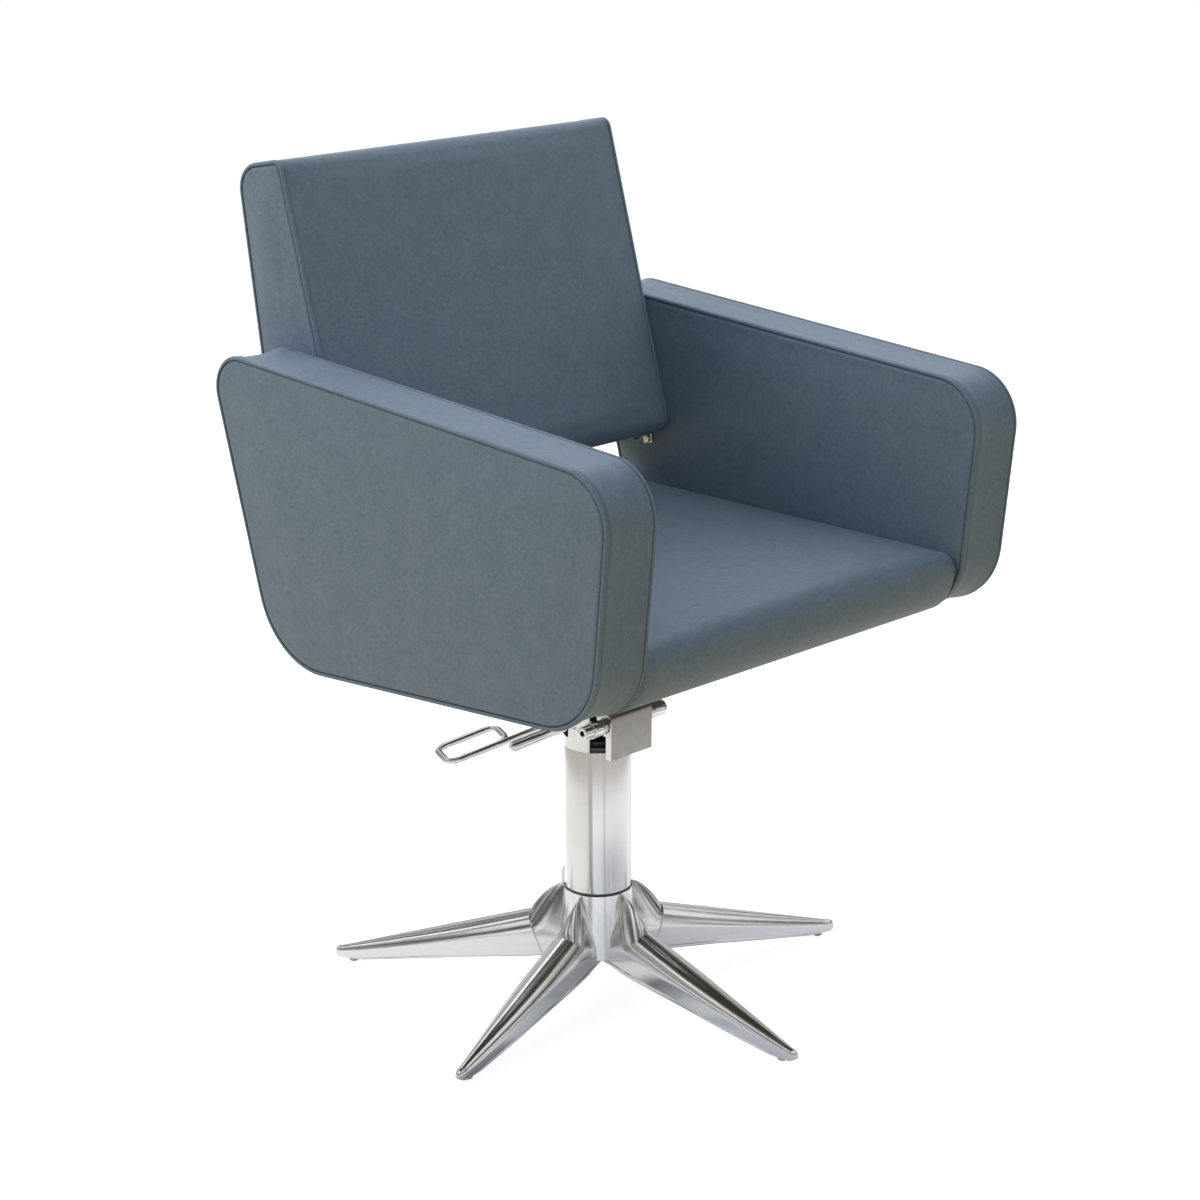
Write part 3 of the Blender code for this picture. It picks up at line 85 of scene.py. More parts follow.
TUBE_LOW, TUBE_HIGH = (corner.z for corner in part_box("column_tube"))
HEAD_LOW, HEAD_HIGH = (corner.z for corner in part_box("pump_head"))
TUBE_RADIUS = 0.0380
TUBE_WALL = 0.0020
HEAD_RADIUS = 0.0390
HEAD_WALL = 0.0027
LEVER_HEADING = math.radians(180 - 25)   # round the column, to the chair's right


# Materials


def linear(*srgb):
    """A colour given in display values from 0 to 255, as the shader's linear numbers."""
    return [((c / 255 + 0.055) / 1.055) ** 2.4 if c > 10 else c / 255 / 12.92 for c in srgb]


class Nodes:
    """A small helper that adds nodes to one tree and links them."""

    def __init__(self, tree):
        self.tree = tree

    def add(self, kind, **values):
        """A node with its settings, and with its inputs where a key starts with in_."""
        node = self.tree.nodes.new(kind)
        for key, value in values.items():
            if key.startswith("in_"):
                node.inputs[key[3:].replace("_", " ")].default_value = value
            else:
                setattr(node, key, value)
        return node

    def link(self, start, end):
        self.tree.links.new(start, end)

    def coords(self, scale=(1, 1, 1), output="Object"):
        place = self.add("ShaderNodeTexCoord")
        mapping = self.add("ShaderNodeMapping", in_Scale=scale)
        self.link(place.outputs[output], mapping.inputs["Vector"])
        return mapping.outputs["Vector"]

    def gradient(self, kind):
        node = self.add("ShaderNodeTexGradient", gradient_type=kind)
        self.link(self.coords(), node.inputs["Vector"])
        return node.outputs["Fac"]

    def noise(self, vector, scale, detail=3.0, roughness=0.55):
        node = self.add("ShaderNodeTexNoise", in_Scale=scale, in_Detail=detail, in_Roughness=roughness)
        self.link(vector, node.inputs["Vector"])
        return node.outputs["Fac"]

    def ramp(self, fac, stops):
        node = self.add("ShaderNodeValToRGB")
        ramp = node.color_ramp
        while len(ramp.elements) < len(stops):
            ramp.elements.new(0.5)
        for element, (place, colour) in zip(ramp.elements, stops):
            element.position = place
            element.color = (*colour, 1)
        self.link(fac, node.inputs["Fac"])
        return node.outputs["Color"]

    def span(self, value, low, high, start=0.0, end=1.0):
        """A value between start and end, carried to another span."""
        node = self.add("ShaderNodeMapRange", in_From_Min=start, in_From_Max=end, in_To_Min=low,
                        in_To_Max=high)
        self.link(value, node.inputs["Value"])
        return node.outputs["Result"]

    def times(self, first, second):
        """Two colours multiplied."""
        node = self.add("ShaderNodeMix", data_type="RGBA", blend_type="MULTIPLY")
        node.inputs["Factor"].default_value = 1.0
        self.link(first, node.inputs["A"])
        self.link(second, node.inputs["B"])
        return node.outputs["Result"]

    def mix(self, fac, first, second):
        """The first shader, or the second where the value is 1."""
        node = self.add("ShaderNodeMixShader")
        for start, end in zip((fac, first, second), node.inputs):
            self.link(start, end)
        return node.outputs[0]


class Shader(Nodes):
    """The nodes of one new material."""

    def __init__(self, name):
        self.mat = bpy.data.materials.new(name)
        self.mat.use_nodes = True
        super().__init__(self.mat.node_tree)
        self.bsdf = self.tree.nodes["Principled BSDF"]

    def set(self, **values):
        for key, value in values.items():
            self.bsdf.inputs[key.replace("_", " ")].default_value = value

    def feed(self, value, socket):
        self.link(value, self.bsdf.inputs[socket])

    def tone(self, fac, dark, light, low=0.3, high=0.7):
        """A base colour that runs from dark to light."""
        self.feed(self.ramp(fac, [(low, dark), (high, light)]), "Base Color")

    def bump(self, height, strength, distance, before=None):
        node = self.add("ShaderNodeBump", in_Strength=strength, in_Distance=distance)
        self.link(height, node.inputs["Height"])
        if before is not None:
            self.link(before, node.inputs["Normal"])
        return node.outputs["Normal"]


def leatherette():
    """Coated cloth: slate blue-grey, faint mottling, a fine pressed grain, and painted shade down in the
    seams' creases.
    """
    s = Shader("slate_leatherette")
    where = s.coords()
    cloud = s.noise(where, 34, 6, 0.66)
    slate = s.ramp(cloud, [(0.30, linear(99, 115, 130)), (0.50, linear(104, 119, 133)),
                           (0.70, linear(109, 123, 136))])
    fleck = s.noise(where, 210, 5, 0.80)
    tint = s.times(slate, s.ramp(fleck, [(0.34, (0.78, 0.78, 0.78)), (0.66, (1.06, 1.06, 1.06))]))
    # The attribute paints shade into the creases of the seams, mixing towards the dark colour set below
    seam = s.add("ShaderNodeAttribute", attribute_name="seam")
    shade = s.add("ShaderNodeMix", data_type="RGBA")
    s.link(seam.outputs["Fac"], shade.inputs["Factor"])
    s.link(tint, shade.inputs["A"])
    shade.inputs["B"].default_value = (*linear(46, 60, 81), 1)
    s.feed(shade.outputs["Result"], "Base Color")
    s.feed(s.span(cloud, 0.50, 0.62), "Roughness")
    grain = s.add("ShaderNodeTexVoronoi", feature="SMOOTH_F1", in_Scale=760.0, in_Smoothness=0.6)
    s.link(where, grain.inputs["Vector"])
    pebbled = s.bump(grain.outputs["Distance"], 0.16, 0.0006)
    s.feed(s.bump(s.noise(where, 95, 4, 0.6), 0.10, 0.0015, pebbled), "Normal")
    s.set(Specular_IOR_Level=0.38, Sheen_Weight=0.06, Sheen_Roughness=0.5)
    return s.mat


def thread():
    s = Shader("sewing_thread")
    s.tone(s.noise(s.coords(), 1500, 2), linear(58, 68, 82), linear(78, 90, 104))
    s.set(Roughness=0.7)
    return s.mat


def polished_casting():
    """Hand-polished aluminium: long faint streaks along each leg and a slight waviness from the mop."""
    s = Shader("polished_casting")
    streak = s.noise(s.coords((2.5, 150, 1), "UV"), 1.0, 4, 0.6)
    where = s.coords()
    cloud = s.noise(where, 55, 3)
    s.tone(streak, (0.78, 0.785, 0.80), (0.90, 0.90, 0.91), 0.25, 0.75)
    rough = s.add("ShaderNodeMath", operation="ADD")
    s.link(s.span(streak, 0.05, 0.17), rough.inputs[0])
    s.link(s.span(cloud, 0.0, 0.09), rough.inputs[1])
    s.feed(rough.outputs[0], "Roughness")
    wave = s.bump(s.noise(where, 38, 2), 0.16, 0.0012)
    s.feed(s.bump(streak, 0.05, 0.0004, wave), "Normal")
    s.set(Metallic=1.0)
    return s.mat


def satin_chrome():
    """Ground and plated tube: fine lines round it and a soft gloss."""
    s = Shader("satin_chrome")
    fine = s.noise(s.coords((30, 30, 900)), 1.0, 3)
    cloud = s.noise(s.coords(), 30, 3)
    s.tone(cloud, (0.83, 0.825, 0.81), (0.89, 0.885, 0.875))
    s.feed(s.span(fine, 0.10, 0.17), "Roughness")
    s.feed(s.bump(fine, 0.02, 0.0003), "Normal")
    turning = s.add("ShaderNodeTangent", direction_type="RADIAL", axis="Z")
    s.feed(turning.outputs[0], "Tangent")
    s.set(Metallic=1.0, Anisotropic=0.9, Anisotropic_Rotation=0.25)
    return s.mat


def bright_chrome():
    s = Shader("bright_chrome")
    cloud = s.noise(s.coords(), 120, 3)
    s.tone(cloud, (0.84, 0.845, 0.86), (0.92, 0.92, 0.925))
    s.feed(s.span(cloud, 0.04, 0.11), "Roughness")
    s.feed(s.bump(s.noise(s.coords(), 60, 2), 0.05, 0.0005), "Normal")
    s.set(Metallic=1.0)
    return s.mat


def blasted_plate():
    """Satin nickel plate with a fine even tooth."""
    s = Shader("blasted_plate")
    where = s.coords()
    tooth = s.noise(where, 1400, 3, 0.7)
    cloud = s.noise(where, 70, 3)
    s.tone(cloud, (0.42, 0.41, 0.385), (0.48, 0.47, 0.445))
    s.feed(s.span(tooth, 0.34, 0.48), "Roughness")
    s.feed(s.bump(tooth, 0.10, 0.0003), "Normal")
    s.set(Metallic=1.0)
    return s.mat


def plain_stuff(name, dark, light, scale, rough, metallic=0.0, stretch=(1, 1, 1)):
    """A quiet surface with its own small variation, for the smaller and the hidden pieces."""
    s = Shader(name)
    grain = s.noise(s.coords(stretch), scale, 4)
    s.tone(grain, dark, light)
    s.feed(s.span(grain, rough - 0.06, rough + 0.06), "Roughness")
    s.feed(s.bump(grain, 0.08, 0.0005), "Normal")
    s.set(Metallic=metallic)
    return s.mat


LEATHER = leatherette()
THREAD = thread()
CASTING = polished_casting()
SATIN = satin_chrome()
CHROME = bright_chrome()
PLATE = blasted_plate()
DARK_STEEL = plain_stuff("oxide_steel", (0.100, 0.098, 0.096), (0.150, 0.147, 0.144), 180, 0.45, 0.8)
NICKEL = plain_stuff("nickel", (0.62, 0.58, 0.50), (0.76, 0.72, 0.64), 260, 0.24, 1.0)
BRONZE = plain_stuff("bearing_bronze", (0.44, 0.26, 0.11), (0.58, 0.36, 0.17), 200, 0.36, 1.0)
NYLON = plain_stuff("natural_nylon", linear(196, 194, 188), linear(216, 214, 208), 150, 0.46)
BLACK_PLASTIC = plain_stuff("black_plastic", linear(22, 22, 23), linear(34, 34, 36), 500, 0.5)
RUBBER = plain_stuff("grey_rubber", linear(84, 84, 85), linear(100, 100, 101), 420, 0.72)
PLYWOOD = plain_stuff("stained_plywood", linear(44, 40, 37), linear(64, 58, 53), 14, 0.6, 0.0, (1, 7, 40))
BY_SLOT = {"cast_aluminium": CASTING, "chrome": CHROME, "brushed_steel": SATIN, "dark_steel": DARK_STEEL,
           "nickel": NICKEL, "bronze": BRONZE, "nylon": NYLON, "black_plastic": BLACK_PLASTIC,
           "rubber": RUBBER, "plywood": PLYWOOD, "leatherette": LEATHER}
SLOT_OF = {part["node"]: part["material_slot"] for part in frame["record"]["subparts"]}
for node_name, node in frame["nodes"].items():
    node.data.materials.clear()
    node.data.materials.append(BY_SLOT[SLOT_OF[node_name]])


# Meshes

WELD = 0.000001               # points closer than this are one
FLAT = math.radians(0.6)      # faces that meet at less than this are one face


def finish_mesh(bm, name, mat, sharp=35):
    """A mesh datablock with its normals out, shaded smooth except over sharp edges."""
    bmesh.ops.recalc_face_normals(bm, faces=bm.faces)
    mesh = bpy.data.meshes.new(name)
    bm.to_mesh(mesh)
    bm.free()
    mesh.materials.append(mat)
    mesh.shade_smooth()
    mesh.set_sharp_from_angle(angle=math.radians(sharp))
    return mesh


def piece(name, mesh, body=None, replaces=()):
    obj = bpy.data.objects.new(name, mesh)
    bpy.context.scene.collection.objects.link(obj)
    if body:
        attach(obj, body)
    if replaces:
        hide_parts(*replaces)
    return obj


def skin(bm, rings, ends=True):
    """Quads between rings of equally many points, with each end closed by a fan when asked."""
    rows = [[bm.verts.new(p) for p in ring] for ring in rings]
    count = len(rows[0])
    for row, after in zip(rows, rows[1:]):
        for i in range(count):
            j = (i + 1) % count
            bm.faces.new((row[i], row[j], after[j], after[i]))
    if ends:
        for row in (rows[0], rows[-1]):
            hub = bm.verts.new(sum((v.co for v in row), Vector()) / count)
            for i in range(count):
                bm.faces.new((row[i], row[(i + 1) % count], hub))
    return rows


def lofted(name, rings, matrix, mat):
    """An object skinned over rings that are given in a frame of its own."""
    bm = bmesh.new()
    skin(bm, [[matrix @ Vector(p) for p in ring] for ring in rings])
    return piece(name, finish_mesh(bm, name, mat))


def turned_mesh(name, profile, mat, steps=128, closed=True):
    """A profile of (radius, height) points turned round the column axis."""
    bm = bmesh.new()
    rings = [[(r * math.cos(a), COLUMN_Y + r * math.sin(a), z) for r, z in profile]
             for a in (2 * math.pi * k / steps for k in range(steps))]
    rows = [[bm.verts.new(p) for p in ring] for ring in rings]
    count = len(profile)
    for k in range(steps):
        row, after = rows[k], rows[(k + 1) % steps]
        for i in range(count if closed else count - 1):
            j = (i + 1) % count
            bm.faces.new((row[i], after[i], after[j], row[j]))
    bmesh.ops.remove_doubles(bm, verts=bm.verts, dist=WELD)
    return finish_mesh(bm, name, mat)


def eased(corners, radius, steps=3):
    """A closed profile with each corner rounded off."""
    points = []
    count = len(corners)
    for i in range(count):
        before, here, after = (Vector(corners[(i + k) % count]) for k in (-1, 0, 1))
        start = here + (before - here).normalized() * radius
        end = here + (after - here).normalized() * radius
        for k in range(steps + 1):
            t = k / steps
            points.append(tuple(start.lerp(here, t).lerp(here.lerp(end, t), t)))
    return points


def combine(obj, tools, operation):
    """Cuts other closed objects out of obj, or joins them to it, one after another, and removes them."""
    for tool in tools:
        modifier = obj.modifiers.new("shape", "BOOLEAN")
        modifier.operation = operation
        modifier.solver = "MANIFOLD"
        modifier.object = tool
        bpy.context.view_layer.update()
        evaluated = obj.evaluated_get(bpy.context.evaluated_depsgraph_get())
        mesh = bpy.data.meshes.new_from_object(evaluated)
        obj.modifiers.clear()
        obj.data = mesh
        bpy.data.objects.remove(tool, do_unlink=True)
    return obj.data


def block_tool(name, low, high, matrix=None):
    bm = bmesh.new()
    bmesh.ops.create_cube(bm, size=1)
    low, high = Vector(low), Vector(high)
    for v in bm.verts:
        v.co = Vector((a + (b - a) * (c + 0.5) for a, b, c in zip(low, high, v.co)))
    if matrix is not None:
        bm.transform(matrix)
    return piece(name, finish_mesh(bm, name, DARK_STEEL))


def refined(node_name, mat, width, segments=2, sharp=38):
    """A rigid node's own form with its sharp edges eased and its round faces smooth, in place of the node."""
    bm = bmesh.new()
    bm.from_mesh(frame["nodes"][node_name].data)
    bmesh.ops.remove_doubles(bm, verts=bm.verts, dist=2 * WELD)
    bmesh.ops.recalc_face_normals(bm, faces=bm.faces)
    bmesh.ops.dissolve_limit(bm, angle_limit=FLAT, verts=bm.verts, edges=bm.edges)
    if width:
        least = math.radians(sharp)
        edges = [e for e in bm.edges if len(e.link_faces) == 2 and e.calc_face_angle(0) > least]
        bmesh.ops.bevel(bm, geom=edges, offset=width, segments=segments, profile=0.5, affect="EDGES",
                        clamp_overlap=True)
    name = node_name + "_surface"
    body = frame["nodes"][node_name]["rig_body"]
    return piece(name, finish_mesh(bm, name, mat, sharp), body, [node_name])


# Upholstery

# A seam: the band's edge is folded over the face panel's edge and sewn down, as a narrow raised roll
ROLL_RADIUS = 0.0026
ROLL_CENTRE = 0.0019
ROLL_WIDTH = 0.0041
BAND_START = 0.0080           # from the face's plane to where the plain band starts
STITCH_PITCH = 0.0042
STITCH_LENGTH = 0.0030
STITCH_RADIUS = 0.00028
STITCH_DEPTH = 0.0006
FACE_INSET = 0.0082
FACE_LIP = 0.0008
FACE_STEPS = (0.97, 0.86, 0.74, 0.62, 0.50, 0.39, 0.29, 0.20, 0.12, 0.055, 0.02)
FACE_ROUND = 2.4              # how full a face's crown is
FACE_GIVE = 7                 # how soon a face comes free of its seam
# (in from the face's edge, out from the face's plane, painted shade) down the face's rim into the crease
RIM = ((FACE_INSET, FACE_LIP, 0.0), (0.0064, 0.0006, 0.0), (0.0052, 0.0001, 0.05), (0.0045, -0.0006, 0.40),
       (0.0040, -0.0013, 1.0))
# (angle round the roll from the face's own direction, painted shade)
ROLL = ((-42, 0.70), (-25, 0.12), (0, 0.0), (22, 0.0), (45, 0.0), (68, 0.0), (90, 0.0), (110, 0.0),
        (128, 0.12))
# (along the band from the face's plane, out from the outline, painted shade) past the roll's sewn edge
SEWN_EDGE = ((0.0040, -0.0008, 0.75), (0.0046, -0.0004, 0.25), (0.0056, -0.0001, 0.0), (BAND_START, 0.0, 0.0))
# (in from the outline, along from the face's plane) round a plain soft end
SOFT_END = ((FACE_INSET, 0.0), (0.0060, 0.0003), (0.0040, 0.0011), (0.0023, 0.0025), (0.0010, 0.0044),
            (0.0002, 0.0064), (0.0, BAND_START))
SQUARE_BELOW = 0.9            # a soft end stays square where its outline faces down more than this
SQUARE_FADE = 0.6             # and is fully round where it faces down less by this much
BAND_ROUND = 0.6              # how full a band's crown is
SEAM_HOLD = 0.030             # how far from a seam the band comes free
FINE_SPACING = 0.0065         # along the outline of a cover
COARSE_SPACING = 0.0130       # and of the skin that the cloth run uses
TOGETHER_FROM = 0.4           # from here to its middle, a face moves more and more as one
LUMPS = ((13, 0.0006), (34, 0.00025))   # (how often, how high)
CLOTH = {"quality": 6, "mass": 0.35, "tension_stiffness": 18, "compression_stiffness": 18,
         "shear_stiffness": 8, "bending_stiffness": 3.0, "vertex_group_mass": "sewn", "use_pressure": True}
CLOTH_FRAMES = 20
HELD_BELOW = 0.05             # a ring with less freedom is held at its place
NEIGHBOURS = 5
NEIGHBOUR_BLUR = 0.002


def outline(corners, radii, spacing):
    """Points of a rounded outline in (y, z), clockwise and about evenly spaced."""
    count = len(corners)
    arcs = []
    for i in range(count):
        before, here, after = (Vector(corners[(i + k) % count]) for k in (-1, 0, 1))
        to_before = (before - here).normalized()
        to_after = (after - here).normalized()
        half = to_before.angle(to_after) / 2
        run = radii[i] / math.tan(half)
        centre = here + (to_before + to_after).normalized() * radii[i] / math.sin(half)
        arcs.append((centre, here + to_before * run, here + to_after * run, math.pi - 2 * half))
    points = []
    for i, (centre, start, end, turn) in enumerate(arcs):
        steps = max(8, round((start - centre).length * turn / spacing))
        points += [centre + Matrix.Rotation(-turn * k / steps, 2) @ (start - centre) for k in range(steps)]
        onward = arcs[(i + 1) % count][1]
        steps = max(1, round((onward - end).length / spacing))
        points += [end.lerp(onward, k / steps) for k in range(steps)]
    return points


class Station:
    """One ring of a cover: where it lies across the chair and how it departs from the outline."""

    def __init__(self, x, grow=0.0, shrink=0.0, crown=0.0, free=0.0, seam=0.0, main=True, soft=False):
        self.x = x
        self.grow = grow
        self.shrink = shrink
        self.crown = crown
        self.free = free
        # painted shade on this ring, from none to full, for the creases of the seams
        self.seam = seam
        self.main = main
        self.soft = soft


def end_stations(edge, inward, face_crown, sewn):
    """From the middle of an end face at x = edge out over its rim and roll; inward points to the band."""
    stations = []
    lip = FACE_LIP if sewn else 0.0
    for shrink in FACE_STEPS:
        rise = lip + (face_crown - lip) * (1 - (1 - shrink) ** FACE_ROUND)
        give = min(1.0, shrink * FACE_GIVE)
        stations.append(Station(edge - inward * rise, -FACE_INSET, shrink, free=give, soft=not sewn))
    if not sewn:
        return stations + [Station(edge + inward * along, -inset, soft=True) for inset, along in SOFT_END]
    # dark is the painted shade that each ring carries down into the seam's crease
    for inset, out, dark in RIM:
        stations.append(Station(edge - inward * out, -inset, seam=dark, main=dark == 1.0))
    for degrees, dark in ROLL:
        out = ROLL_RADIUS * math.cos(math.radians(degrees)) - ROLL_CENTRE
        grow = ROLL_RADIUS * math.sin(math.radians(degrees)) - ROLL_CENTRE
        stations.append(Station(edge - inward * out, grow, seam=dark, main=False))
    for along, grow, dark in SEWN_EDGE:
        stations.append(Station(edge + inward * along, grow, seam=dark, main=along == SEWN_EDGE[0][0]))
    return stations


def band_stations(low, high, crown, hollow, free, spacing):
    """Across the band between two rolls."""
    start, end = low + BAND_START, high - BAND_START
    steps = max(4, round((end - start) / spacing))
    stations = []
    for k in range(1, steps):
        x = start + (end - start) * k / steps
        across = 2 * (x - low) / (high - low) - 1
        bulge = (1 - across ** 2) ** BAND_ROUND
        near_seam = min(1.0, min(x - start, end - x) / SEAM_HOLD)
        stations.append(Station(x, -hollow * bulge, 0.0, crown * bulge, free * near_seam))
    return stations


def outline_frame(points):
    """Outward directions along a clockwise outline, and its middle."""
    count = len(points)
    normals = []
    for i in range(count):
        along = (points[(i + 1) % count] - points[i - 1]).normalized()
        normals.append(Vector((-along.y, along.x)))
    return normals, sum(points, Vector((0, 0))) / count


def station_ring(station, points, normals, middle, swell):
    ring = []
    for point, normal in zip(points, normals):
        grow = station.grow
        if station.soft:
            grow *= min(1.0, max(0.0, (normal.y + SQUARE_BELOW) / SQUARE_FADE))
        spot = point + normal * (grow + station.crown * swell(normal))
        spot = middle + (spot - middle) * (1 - station.shrink)
        ring.append(Vector((station.x, spot.x, spot.y)))
    return ring


def blow_up(name, rings, free, pressure, cap):
    """Runs cloth under pressure on a coarse skin held at its seams; gives its points and their moves."""
    bm = bmesh.new()
    rows = skin(bm, rings, ends=True)
    bm.verts.index_update()
    held = [v.index for row, weight in zip(rows, free) if weight <= HELD_BELOW for v in row]
    mesh = finish_mesh(bm, name, LEATHER)
    obj = piece(name, mesh)
    pins = obj.vertex_groups.new(name="sewn")
    pins.add(held, 1.0, "REPLACE")
    cloth = obj.modifiers.new("cloth", "CLOTH")
    for key, value in CLOTH.items():
        setattr(cloth.settings, key, value)
    cloth.settings.uniform_pressure_force = pressure
    cloth.settings.effector_weights.gravity = 0.0
    cloth.collision_settings.use_collision = False
    cloth.point_cache.frame_start = 1
    cloth.point_cache.frame_end = CLOTH_FRAMES
    scene = bpy.context.scene
    for step in range(1, CLOTH_FRAMES + 1):
        scene.frame_set(step)
    evaluated = obj.evaluated_get(bpy.context.evaluated_depsgraph_get())
    count = len(mesh.vertices)
    before, after = np.empty(count * 3), np.empty(count * 3)
    mesh.vertices.foreach_get("co", before)
    evaluated.data.vertices.foreach_get("co", after)
    before, after = before.reshape(-1, 3), after.reshape(-1, 3)
    moved = after - before
    length = np.linalg.norm(moved, axis=1, keepdims=True)
    moved *= np.minimum(1.0, cap / np.maximum(length, 1e-9))
    scene.frame_set(1)
    bpy.data.objects.remove(obj, do_unlink=True)
    return before, moved


def filling_push(name, stations, corners, radii, swell, pressure, cap):
    """A function that gives the filling's push at a spot of a cover, from a cloth run."""
    points = outline(corners, radii, COARSE_SPACING)
    normals, middle = outline_frame(points)
    main = [s for s in stations if s.main]
    rings = [station_ring(s, points, normals, middle, swell) for s in main]
    before, moved = blow_up(name + "_form", rings, [s.free for s in main], pressure, cap)
    tree = kdtree.KDTree(len(before))
    for i, spot in enumerate(before):
        tree.insert(spot, i)
    tree.balance()

    def push_at(spot):
        near = tree.find_n(spot, NEIGHBOURS)
        weights = [1 / (distance + NEIGHBOUR_BLUR) ** 2 for _, _, distance in near]
        total = sum(weights)
        return sum((Vector(moved[i]) * w for (_, i, _), w in zip(near, weights)), Vector()) / total

    return push_at


def fill_out(station, ring, normals, swell, outward, push_at):
    """Moves a ring's free points by small lumps and by the filling's push, if there is one."""
    on_face = station.shrink > 0
    shifts = []
    for spot, normal in zip(ring, normals):
        direction = outward if on_face else Vector((0, *normal))
        give = station.free * (1.0 if on_face else min(1.0, swell(normal)))
        shift = direction * sum(noise.noise(spot * often) * height for often, height in LUMPS)
        if push_at:
            shift += push_at(spot)
        shifts.append(shift * give)
    together = max(0.0, (station.shrink - TOGETHER_FROM) / (1 - TOGETHER_FROM))
    mean = outward * sum(shift.x for shift in shifts) / len(shifts) * outward.x
    for k, shift in enumerate(shifts):
        ring[k] += shift.lerp(mean, together)


def cover(name, node_name, corners, radii, low, high, faces, band, swell, pressure, cap, rest=None,
          sewn=True):
    """A sewn cover: two end faces, each with a rolled seam, and a band round the outline between them.

    faces holds the crowns of the low and the high face, and band (crown, hollow, free, spacing).
    """
    corners = [(y + COLUMN_Y, z) for y, z in corners]
    points = outline(corners, radii, FINE_SPACING)
    normals, middle = outline_frame(points)
    stations = end_stations(low, 1, faces[0], sewn)
    stations += band_stations(low, high, *band)
    stations += reversed(end_stations(high, -1, faces[1], sewn))
    rings = [station_ring(s, points, normals, middle, swell) for s in stations]
    push_at = None
    push_at = filling_push(name, stations, corners, radii, swell, pressure, cap)
    for station, ring in zip(stations, rings):
        if station.free > 0:
            outward = Vector((math.copysign(1, station.x - (low + high) / 2), 0, 0))
            fill_out(station, ring, normals, swell, outward, push_at)
    if rest is not None:
        for ring in rings:
            for spot in ring:
                spot.z = max(spot.z, rest)
    bm = bmesh.new()
    rows = skin(bm, rings, ends=True)
    bm.verts.index_update()
    # Painted shade for each point, taken from its ring and kept on the mesh for the leather's shader
    dark = [0.0] * len(bm.verts)
    for station, row in zip(stations, rows):
        for v in row:
            dark[v.index] = station.seam
    mesh = finish_mesh(bm, name, LEATHER, sharp=80)
    seam = mesh.attributes.new("seam", "FLOAT", "POINT")
    seam.data.foreach_set("value", dark)
    obj = piece(name, mesh, "chair", [node_name])
    if sewn:
        sewn_edges = [Station(edge + inward * ROLL_WIDTH, -STITCH_DEPTH)
                      for edge, inward in ((low, 1), (high, -1))]
        lines = [station_ring(s, points, normals, middle, swell) for s in sewn_edges]
        stitches(name.replace("cover", "stitches"), lines, normals)


def stitches(name, lines, normals):
    """Thread lying in the sewn edge of each roll: short spindles, evenly spaced."""
    bm = bmesh.new()
    for line in lines:
        lengths = [(b - a).length for a, b in zip(line, line[1:] + line[:1])]
        total = sum(lengths)
        count = int(total / STITCH_PITCH)
        step = total / count
        index, passed = 0, 0.0
        for k in range(count):
            target = k * step
            while passed + lengths[index] < target:
                passed += lengths[index]
                index += 1
            a, b = line[index], line[(index + 1) % len(line)]
            along = (b - a).normalized()
            middle = a + along * (target - passed)
            out = Vector((0, *normals[index]))
            side = along.cross(out).normalized()
            tips = [bm.verts.new(middle + along * STITCH_LENGTH / 2 * s) for s in (-1, 1)]
            ring = [bm.verts.new(middle + (out * math.cos(t) + side * math.sin(t)) * STITCH_RADIUS)
                    for t in (0, math.pi / 2, math.pi, 3 * math.pi / 2)]
            for i in range(4):
                j = (i + 1) % 4
                bm.faces.new((ring[i], ring[j], tips[1]))
                bm.faces.new((ring[j], ring[i], tips[0]))
    piece(name, finish_mesh(bm, name, THREAD, sharp=180), "chair")


# Side outlines, as (behind the column axis, height): top back, bottom back, bottom front, top front of an
# arm; top front, top back, bottom back, bottom front of the back; top back and on round for the seat
ARM_CORNERS = [(0.2700, SEAT_TOP + 0.2290), (0.1740, SEAT_TOP - 0.1050), (-0.3060, SEAT_TOP - 0.0725),
               (-0.3310, SEAT_TOP + 0.1880)]
ARM_RADII = [0.0380, 0.0950, 0.0790, 0.0580]
BACK_CORNERS = [(0.2245, SEAT_TOP + 0.4245), (0.2965, SEAT_TOP + 0.4110), (0.2405, SEAT_TOP + 0.0420),
                (0.1225, SEAT_TOP + 0.0660)]
BACK_RADII = [0.0120, 0.0300, 0.0300, 0.0180]
SEAT_CORNERS = [(0.2000, SEAT_TOP), (0.2000, SEAT_BOTTOM), (-0.30144, SEAT_BOTTOM), (-0.30888, SEAT_TOP)]
SEAT_RADII = [0.0160, 0.0160, 0.0555, 0.0180]
SEAT_REST = SEAT_BOTTOM + 0.0013
ARM_OUTER_CROWN = 0.0034
ARM_INNER_CROWN = 0.0006
# Bands, as (crown, hollow, freedom, spacing)
ARM_BAND = (0.0, 0.0026, 0.0, 0.006)
CUSHION_BAND = (0.0055, 0.0, 1.0, 0.014)


def no_swell(normal):
    return 0.0


def back_swell(normal):
    return max(0.0, -normal.x) ** 3 + 0.45 * max(0.0, normal.x) ** 3


def seat_swell(normal):
    return max(0.0, normal.y) + 0.4 * max(0.0, -normal.x) ** 3


